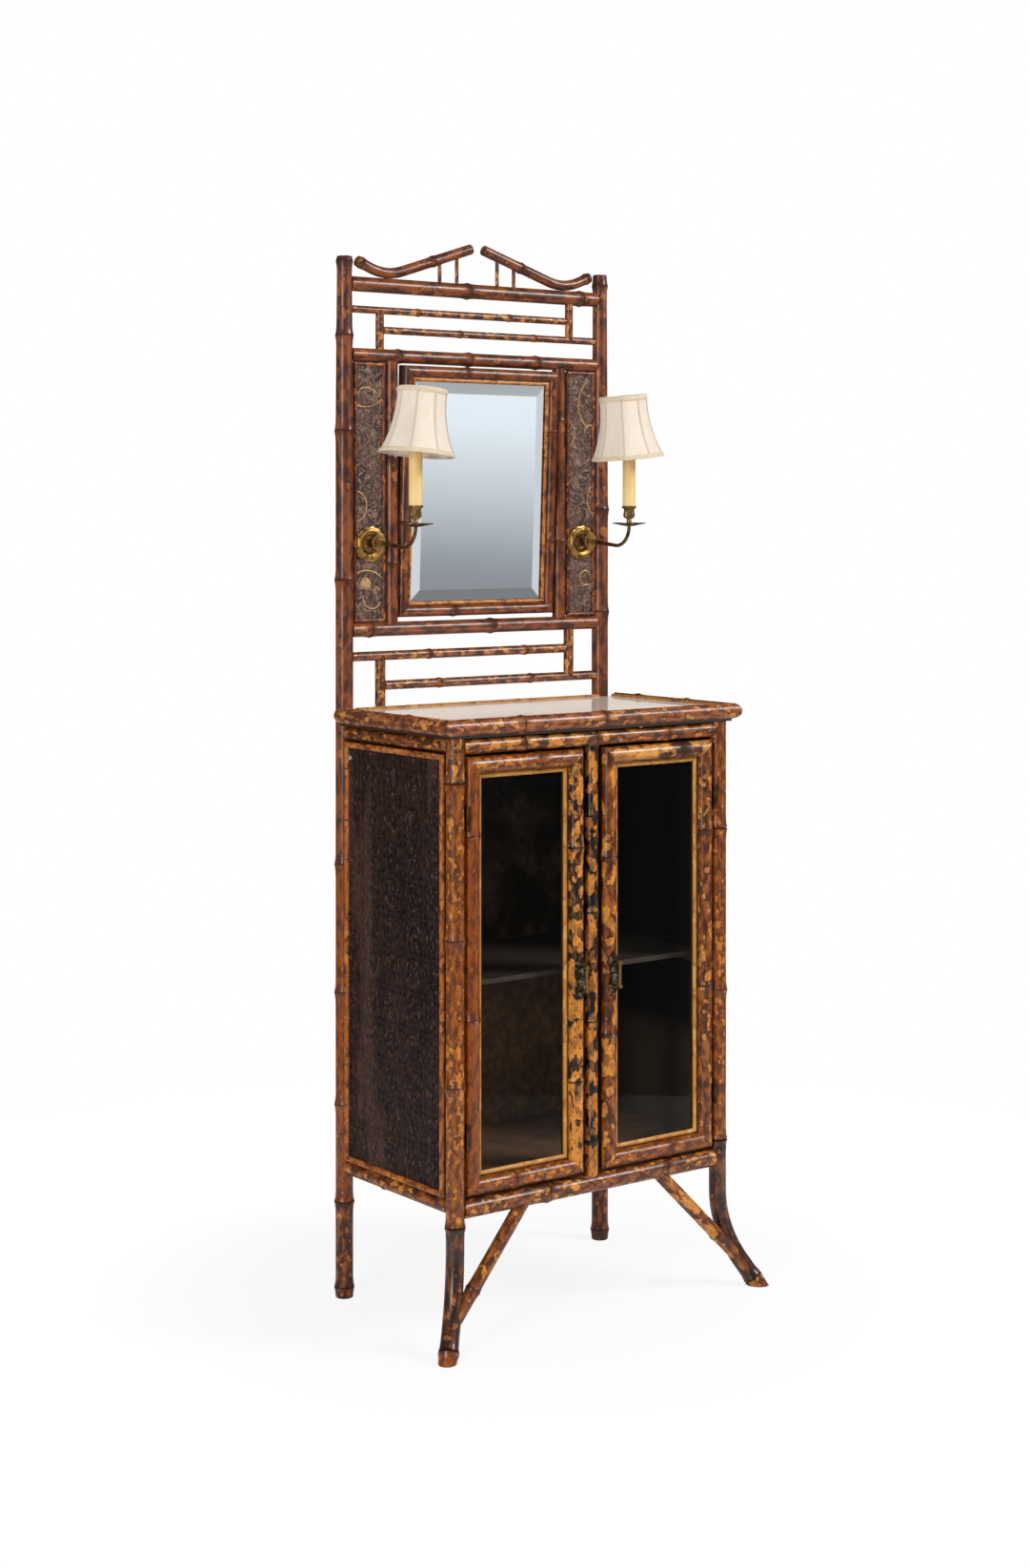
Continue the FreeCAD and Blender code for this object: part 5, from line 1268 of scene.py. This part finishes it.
def drawn_line(points, radius):
    """Round line through a row of points, as a mesh shape."""
    curve = bpy.data.curves.new("line", "CURVE")
    curve.dimensions = "3D"
    curve.bevel_depth = radius
    curve.bevel_resolution = 2
    curve.use_fill_caps = True
    spline = curve.splines.new("POLY")
    spline.points.add(len(points) - 1)
    for target, point in zip(spline.points, points):
        target.co = (*point, 1.0)
    carrier = bpy.data.objects.new("line", curve)
    mesh = bpy.data.meshes.new_from_object(carrier)
    bm = bmesh.new()
    bm.from_mesh(mesh)
    bpy.data.meshes.remove(mesh)
    bpy.data.objects.remove(carrier)
    bpy.data.curves.remove(curve)
    smoothed(bm)
    return bm


def volute(centre, radius, turns, start, hand):
    """Points of a spiral that winds in to a centre, in the plane of the front."""
    steps_a_turn, spare_steps, drawn_in = 30, 8, 0.86
    count = int(steps_a_turn * turns) + spare_steps
    points = []
    for step in range(count + 1):
        share = step / count
        angle = start + hand * 2 * math.pi * turns * share
        reach = radius * (1 - drawn_in * share)
        points.append(centre + RIGHT * reach * math.cos(angle) + UP * reach * math.sin(angle))
    return points


class CABINET_OT_gilt_scrolls(Dressing):
    """Raised gilt scrolls on the papered panels beside the mirror."""
    bl_idname = "cabinet.gilt_scrolls"
    bl_label = "Gilt scrolls"

    # Place across, share of the height, radius, first and last angle of each line
    arcs = {
        "left": ((-0.010, 0.955, 0.054, 248, 318), (-0.006, 0.845, 0.026, 40, 118),
                 (-0.032, 0.445, 0.027, -75, 75), (-0.006, 0.095, 0.044, 42, 122),
                 (0.006, 0.090, 0.018, 165, 335), (0.015, 0.118, 0.005, 0, 260)),
        "right": ((0.050, 0.868, 0.054, 130, 232), (0.022, 0.755, 0.012, 60, 170),
                  (-0.042, 0.745, 0.028, -50, 60), (0.052, 0.475, 0.036, 140, 225),
                  (0.012, 0.152, 0.013, 45, 300), (0.018, 0.925, 0.010, 190, 300)),
    }

    def dress(self):
        low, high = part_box("wing_panels")
        tall = high.z - low.z
        piece = Piece("wing_gilt_scrolls", "cabinet", "gilt_panel", [], ["gilt_line"])
        line = sizes().scroll_line
        count = 28
        for name, side in SIDES.items():
            for x, share, radius, first, last in self.arcs[name]:
                centre = Vector((side * SCONCE_X + x, low.y, low.z + share * tall))
                angles = [math.radians(first + (last - first) * step / count) for step in range(count + 1)]
                points = [centre + Vector((math.cos(angle), 0, math.sin(angle))) * radius for angle in angles]
                piece.take(drawn_line(points, line))
        self.disc(piece, Vector((-SCONCE_X - BOSS_X, low.y, low.z + BOSS_SHARE * tall)))
        piece.finish()

    def disc(self, piece, centre):
        """Small gilt boss."""
        bm = turned(((0, 0), (10.5, 0), (9.8, 0.8), (5.0, 1.4), (0, 1.6)), 24)
        smoothed(bm)
        placed(bm, centre, centre + FRONT, UP)
        piece.take(bm)


def lamp_matrix(side):
    """Place of a lamp axis: it leans towards the mirror."""
    base = Vector((side * SCONCE_X, CANDLE_Y, LAMP_Z))
    return Matrix.Translation(base) @ Matrix.Rotation(-side * SHADE_LEAN, 4, "Y")


def bell_radius(share):
    """Radius of a shade along a rib, by its share of the height."""
    waist = SHADE_WAIST
    bottom = (share - waist) * (share - 1) / waist
    middle = share * (share - 1) / (waist * (waist - 1))
    top = share * (share - waist) / (1 - waist)
    return SHADE_BOTTOM_R * bottom + SHADE_WAIST_R * middle + SHADE_TOP_R * top


def panelled(levels):
    """Flat-sided sleeve through (radius, height) levels, with a corner at each rib."""
    bm = bmesh.new()
    bmesh.ops.create_circle(bm, segments=SHADE_RIBS, radius=levels[0][0])
    bmesh.ops.translate(bm, vec=(0, 0, levels[0][1]), verts=bm.verts)
    rim = bm.edges[:]
    for (old_r, old_z), (radius, height) in zip(levels, levels[1:]):
        grown = bmesh.ops.extrude_edge_only(bm, edges=rim)["geom"]
        verts = [item for item in grown if isinstance(item, bmesh.types.BMVert)]
        rim = [item for item in grown if isinstance(item, bmesh.types.BMEdge)
               and all(vert in verts for vert in item.verts)]
        bmesh.ops.scale(bm, vec=(radius / old_r, radius / old_r, 1), verts=verts)
        bmesh.ops.translate(bm, vec=(0, 0, height - old_z), verts=verts)
    return bm


def rounded_ribs(bm):
    """Soften the corners at the ribs."""
    upright = [edge for edge in bm.edges
               if abs(math.atan2(edge.verts[0].co.y, edge.verts[0].co.x)
                      - math.atan2(edge.verts[1].co.y, edge.verts[1].co.x)) < 1e-4]
    bmesh.ops.bevel(bm, geom=upright, offset=RIB_ROUND, offset_type="OFFSET", segments=4, profile=0.5,
                    affect="EDGES", material=-1)


def seamed(bm):
    """Mark the silk along each rib."""
    seam = bm.verts.layers.float.new(RING)
    for vert in bm.verts:
        turn = SHADE_RIBS * math.atan2(vert.co.y, vert.co.x) / (2 * math.pi)
        vert[seam] = 1.0 if abs(turn - round(turn)) < 0.01 else 0.0


class CABINET_OT_shades(Dressing):
    """Silk shades stretched over their ribs, with folded tape round the rims."""
    bl_idname = "cabinet.shades"
    bl_label = "Candle shades"

    def dress(self):
        for name, side in SIDES.items():
            silk_piece = Piece(name + "_shade_silk", name + "_lampshade", "shade_cloth", [name + "_shade"],
                               ["shade_silk"])
            count = 14
            levels = [(bell_radius(step / count), SHADE_BOTTOM + SHADE_HEIGHT * step / count)
                      for step in range(count + 1)]
            bm = panelled(levels)
            rounded_ribs(bm)
            seamed(bm)
            bmesh.ops.recalc_face_normals(bm, faces=bm.faces)
            area = sum(face.calc_area() for face in bm.faces)
            bmesh.ops.solidify(bm, geom=bm.faces[:], thickness=sizes().cloth)
            smoothed(bm)
            bm.transform(lamp_matrix(side))
            silk_piece.take(bm)
            cloth = silk_piece.finish()

            trim = Piece(name + "_shade_tape", name + "_lampshade", "shade_cloth", [], ["shade_tape"])
            for low in (0.0, SHADE_HEIGHT - SHADE_TAPE):
                trim.take(self.rim(low, side))
            band = trim.finish()

    def rim(self, low, side):
        """Folded tape over one rim."""
        section = ((0.0001, -0.0006), (0.0015, -0.0004), (0.0024, 0.0008), (0.0027, 0.0028),
                   (0.0024, 0.0052), (0.0014, 0.0068), (0.0001, 0.0072))
        levels = [(bell_radius((low + height) / SHADE_HEIGHT) + out, SHADE_BOTTOM + low + height)
                  for out, height in section]
        bm = panelled(levels)
        rounded_ribs(bm)
        bmesh.ops.recalc_face_normals(bm, faces=bm.faces)
        bmesh.ops.solidify(bm, geom=bm.faces[:], thickness=TAPE_THICK)
        smoothed(bm)
        bm.transform(lamp_matrix(side))
        return bm


def fluted(bm, count, depth, low, high):
    """Press flutes into a round shape between two heights."""
    for vert in bm.verts:
        share = (vert.co.z - low) / (high - low)
        if 0 < share < 1:
            angle = math.atan2(vert.co.y, vert.co.x)
            swell = 1 + depth * math.cos(count * angle) * math.sin(math.pi * share)
            vert.co.x *= swell
            vert.co.y *= swell


class CABINET_OT_sconces(Dressing):
    """Fluted candle cups and gadrooned back plates."""
    bl_idname = "cabinet.sconces"
    bl_label = "Sconces"

    # Outlines in millimetres: radius and height
    cup = ((0, 0), (4.5, 0), (4.5, 3.0), (3.6, 5.5), (7.5, 8.2), (9.4, 10.5), (9.6, 12.5), (9.3, 16.0),
           (8.7, 20.0), (8.8, 22.6), (10.4, 24.6), (12.6, 26.4), (12.8, 27.4), (12.6, 29.0),
           (11.4, 29.0), (11.4, 26.0), (0, 26.0))
    flange = ((0, 0), (30.2, 0), (30.6, 0.8), (29.6, 1.9), (26.0, 2.4), (24.8, 4.4), (22.6, 5.2),
              (20.4, 4.4), (19.6, 2.6), (18.5, 2.2), (0, 2.2))
    dome = ((0, 2.0), (17.2, 2.0), (16.6, 4.0), (14.6, 7.0), (11.0, 9.8), (7.0, 11.4), (0, 12.0))

    def dress(self):
        cup_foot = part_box("candle_cups")[0].z
        cups = Piece("fluted_cups", "cabinet", "antique_brass", ["candle_cups"], ["aged_brass"])
        for side in SIDES.values():
            bm = turned(self.cup, 48)
            fluted(bm, count=8, depth=0.07, low=0.007, high=0.024)
            bm.transform(Matrix.Translation((side * SCONCE_X, CANDLE_Y, cup_foot)))
            smoothed(bm)
            cups.take(bm)
        cups.finish()

        low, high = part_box("sconce_backplates")
        plates = Piece("gilt_backplates", "cabinet", "antique_brass", ["sconce_backplates"],
                       ["gilt_metal", "dome_brass"])
        for side in SIDES.values():
            centre = Vector((side * SCONCE_X, high.y, (low.z + high.z) / 2))
            for outline, press, finish in ((self.flange, self.scalloped, "gilt_metal"),
                                           (self.dome, self.ribbed, "dome_brass")):
                bm = turned(outline, 112)
                press(bm)
                smoothed(bm, plates.index(finish))
                placed(bm, centre, centre + FRONT, RIGHT)
                plates.take(bm)
        plates.finish()

    def scalloped(self, bm):
        """Scallop a flange's edge."""
        inner, root, depth, lobes = 0.026, 0.93, 0.08, 13
        for vert in bm.verts:
            if math.hypot(vert.co.x, vert.co.y) > inner:
                swell = root + depth * abs(math.cos(lobes / 2 * math.atan2(vert.co.y, vert.co.x)))
                vert.co.x *= swell
                vert.co.y *= swell

    def ribbed(self, bm):
        """Swell a dome into ribs that die out towards its middle."""
        foot, full_at, depth, ribs = 0.0021, 0.010, 0.0011, 24
        for vert in bm.verts:
            if vert.co.z > foot:
                reach = math.hypot(vert.co.x, vert.co.y)
                angle = math.atan2(vert.co.y, vert.co.x)
                vert.co.z += depth * math.cos(ribs * angle) * min(1.0, reach / full_at)


class CABINET_OT_pulls(Dressing):
    """Cast scrolls on the plates of the door pulls."""
    bl_idname = "cabinet.pulls"
    bl_label = "Pull scrolls"

    plate = 0.0022
    lobe_up, lobe_aside, lobe_r, lobe_turns = 0.0215, 0.0046, 0.0046, 1.2
    tip_up, tip_r, tip_line = 0.0300, 0.0034, 0.0008
    wave_wide, wave_tall, wave_rise = 0.0055, 0.0062, 0.0060
    line = 0.0009

    def dress(self):
        for name in SIDES:
            low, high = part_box(name + "_door_pull")
            middle = (low + high) / 2
            face = Vector((middle.x, high.y - self.plate, middle.z))
            piece = Piece(name + "_pull_scrolls", name + "_door", "dark_bronze", [], ["pull_bronze"])
            for end in (-1, 1):
                for hand in (-1, 1):
                    centre = face + UP * end * self.lobe_up + RIGHT * hand * self.lobe_aside
                    turns = volute(centre, self.lobe_r, self.lobe_turns, math.pi / 2 * end, -hand * end)
                    piece.take(drawn_line(turns, self.line))
                tip = face + UP * end * self.tip_up
                piece.take(drawn_line(volute(tip, self.tip_r, 1.0, -math.pi / 2 * end, end), self.tip_line))
            for row in range(-2, 3):
                centre = face + UP * row * self.wave_rise
                way = 1 if row % 2 else -1
                wave = [centre + RIGHT * (self.wave_wide * math.sin(t * math.pi)) * way
                        + UP * self.wave_tall * (t - 0.5) for t in [step / 10 for step in range(11)]]
                piece.take(drawn_line(wave, self.line))
            piece.finish()


class CABINET_OT_finishes(Dressing):
    """Finishes of the pieces that keep their solid shape."""
    bl_idname = "cabinet.finishes"
    bl_label = "Finishes"

    kept = {
        "embossed_paper": ("left_side_panel", "right_side_panel"),
        "wing_paper": ("wing_panels",),
        "lining_paper": ("back_panel", "cabinet_floor", "shelf_bearers", "door_stop"),
        "dusty_board": ("shelf",),
        "stained_wood": ("rear_battens", "left_door_frame", "right_door_frame", "mirror_tray"),
        "table_lacquer": ("top_board",),
        "clear_glass": ("left_door_glass", "right_door_glass"),
        "silvered_glass": ("mirror_glass",),
        "arm_bronze": ("sconce_arms", "drip_pans"),
        "hinge_brass": ("left_door_hinges", "right_door_hinges", "post_hinge_leaves", "mirror_pivots"),
        "pull_bronze": ("left_door_pull", "right_door_pull"),
        "candle_wax": ("candle_sleeves",),
        "lampholder": ("lampholders",),
        "frosted_glass": ("bulbs",),
        "shade_wire": ("left_shade_frame", "right_shade_frame"),
    }

    def dress(self):
        for finish, nodes in self.kept.items():
            for node in nodes:
                for slot in frame["nodes"][node].material_slots:
                    slot.material = materials()[finish]


class CABINET_OT_stage(Dressing):
    """Floor, light, background and camera."""
    bl_idname = "cabinet.stage"
    bl_label = "Stage"

    def dress(self):
        scene = bpy.context.scene
        scene.view_settings.view_transform = "Standard"
        self.floor()
        self.lamp("key", place=(-3.7, -1.7, 1.7), target=(0.0, 0.0, 1.0), size=(0.8, 2.4), power=64.0)
        self.lamp("fill", place=(2.5, -2.7, 3.3), target=(0.0, 0.0, 1.1), size=(1.3, 1.0), power=92.0)
        self.surroundings()
        self.camera()
        self.plain_mirror()

    def plain_mirror(self):
        """Keep the lamps out of reflections, so that the mirror shows a plain wall.

        The mirror itself is kept out too, so that it throws no glare on the canes.
        """
        nodes = ("sconce_arms", "drip_pans", "candle_sleeves", "lampholders", "bulbs", "left_shade_frame",
                 "right_shade_frame", "mirror_glass")
        pieces = ("left_shade_silk", "left_shade_tape", "right_shade_silk", "right_shade_tape", "fluted_cups")
        for item in [frame["nodes"][node] for node in nodes] + [bpy.data.objects[piece] for piece in pieces]:
            item.visible_glossy = False

    def floor(self):
        """Pale floor that keeps a faint shadow and runs out into white."""
        floor_r, white_from, white_to = 1.6, 0.4, 1.1
        bm = bmesh.new()
        bmesh.ops.create_circle(bm, cap_ends=True, segments=64, radius=floor_r)
        mesh = bpy.data.meshes.new("floor")
        bm.to_mesh(mesh)
        bm.free()
        made = bpy.data.objects.new("floor", mesh)
        bpy.context.scene.collection.objects.link(made)
        finish = Finish("floor_paint", base_color=(0.9, 0.9, 0.9, 1.0), roughness=0.9)
        x, y, _ = finish.parts(finish.objects())
        far = finish.step((x * x + y * y) ** 0.5, white_from, white_to)
        seen = finish.node("ShaderNodeLightPath")
        white = finish.node("ShaderNodeEmission", {}, {"Color": (1, 1, 1, 1), "Strength": 1.06})
        share = seen * (0.80 + 0.20 * far)
        lit = Field(finish, finish.shader.outputs[0])
        finish.surface(finish.node("ShaderNodeMixShader", {}, {0: share, 1: lit, 2: white}))
        mesh.materials.append(finish.material)

    def lamp(self, name, place, target, size, power):
        """Soft light, wide and tall as its size says, aimed at a point."""
        light = bpy.data.lights.new(name, "AREA")
        light.shape = "RECTANGLE"
        light.size, light.size_y = size
        light.energy = power
        made = bpy.data.objects.new(name, light)
        made.location = place
        made.rotation_euler = (Vector(target) - Vector(place)).to_track_quat("-Z", "Y").to_euler()
        bpy.context.scene.collection.objects.link(made)

    def surroundings(self):
        """White to the camera, even light on the object, and a graded wall in reflections."""
        white = (1, 1, 1, 1)
        world = bpy.data.worlds.new("surroundings")
        world.use_nodes = True
        bpy.context.scene.world = world
        graph = Graph(world.node_tree)
        way = graph.node("ShaderNodeTexCoord")
        x, y, height = graph.parts(way)
        wall = graph.node("ShaderNodeValToRGB", {"stops": (
            (0.380, (0.20, 0.215, 0.225, 1)),
            (0.435, (0.23, 0.25, 0.26, 1)),
            (0.455, (0.29, 0.31, 0.33, 1)),
            (0.4705, (0.58, 0.63, 0.66, 1)),
            (0.486, (0.84, 0.90, 0.96, 1)),
            (0.540, (0.84, 0.90, 0.96, 1)),
            (0.558, (0.42, 0.44, 0.45, 1)),
            (0.620, (0.20, 0.20, 0.20, 1)),
        )}, {0: height * 0.5 + 0.5})
        room = (0.12, 0.115, 0.11, 1.0)
        before = graph.step(x * 0.6 - y * 0.8, 0.90, 0.96)
        aside = x * 0.8 + y * 0.6
        wall = graph.mix(graph.step(aside, 0.07, 0.10), wall, (0.62, 0.66, 0.70, 1.0))
        wall = graph.mix(graph.step(aside, -0.10, -0.13), wall, (0.66, 0.69, 0.72, 1.0))
        behind = graph.step(x * 0.6 + y * 0.8, 0.80, 0.94) * graph.step(height, 0.03, 0.07)
        wall = graph.mix(before, room, wall)
        wall = graph.mix(behind * graph.step(height, 0.17, 0.11), wall, (0.98, 0.87, 0.77, 1.0))
        path = graph.node("ShaderNodeLightPath").socket.node.outputs
        camera, glossy, through = (Field(graph, path[name]) for name in
                                   ("Is Camera Ray", "Is Glossy Ray", "Is Transmission Ray"))
        light = graph.mix(glossy, (0.47, 0.47, 0.47, 1.0), wall)
        light = graph.mix(through, light, white)
        light = graph.mix(camera, light, white)
        graph.feed(world.node_tree.nodes["Background"].inputs["Color"], light)

    def camera(self):
        """Camera at the photograph's viewing angle."""
        data = bpy.data.cameras.new("camera")
        image_high = 1645
        focal_pixels, horizon_pixel = 2566.13, 540.3
        eye = (-2.4841, -3.2422, 1.2994)
        heading = math.radians(-36.832)
        data.sensor_width = 36.0
        data.lens = focal_pixels * data.sensor_width / image_high
        data.shift_y = (horizon_pixel - image_high / 2) / image_high
        data.clip_end = 50.0
        made = bpy.data.objects.new("camera", data)
        made.location = eye
        made.rotation_euler = (math.radians(90), 0, heading)
        bpy.context.scene.collection.objects.link(made)
        bpy.context.scene.camera = made


class CABINET_PT_sidebar(bpy.types.Panel):
    """Lists the cabinet's operators, sizes and colours."""
    bl_idname = "CABINET_PT_sidebar"
    bl_label = "Hall cabinet"
    bl_space_type = "VIEW_3D"
    bl_region_type = "UI"
    bl_category = "Cabinet"

    def draw(self, context):
        for operator in OPERATORS:
            self.layout.operator(operator.bl_idname)
        for group in (context.scene.cabinet_sizes, context.scene.cabinet_colours):
            for name in group.bl_rna.properties.keys():
                if name not in ("rna_type", "name"):
                    self.layout.prop(group, name)


OPERATORS = (
    CABINET_OT_posts,
    CABINET_OT_rails,
    CABINET_OT_crest,
    CABINET_OT_door_canes,
    CABINET_OT_mirror_canes,
    CABINET_OT_panel_beads,
    CABINET_OT_table_edge,
    CABINET_OT_gilt_scrolls,
    CABINET_OT_shades,
    CABINET_OT_sconces,
    CABINET_OT_pulls,
    CABINET_OT_finishes,
    CABINET_OT_stage,
)
CLASSES = (CabinetSizes, CabinetColours, *OPERATORS, CABINET_PT_sidebar)


def register():
    """Add the classes and their settings."""
    for item in CLASSES:
        bpy.utils.register_class(item)
    bpy.types.Scene.cabinet_sizes = bpy.props.PointerProperty(type=CabinetSizes)
    bpy.types.Scene.cabinet_colours = bpy.props.PointerProperty(type=CabinetColours)


def unregister():
    """Take the classes and their settings away."""
    del bpy.types.Scene.cabinet_colours
    del bpy.types.Scene.cabinet_sizes
    for item in reversed(CLASSES):
        bpy.utils.unregister_class(item)


def main():
    """Register the classes and dress the cabinet."""
    register()
    for operator in OPERATORS:
        group, name = operator.bl_idname.split(".")
        getattr(getattr(bpy.ops, group), name)()


if __name__ == "__main__":
    main()
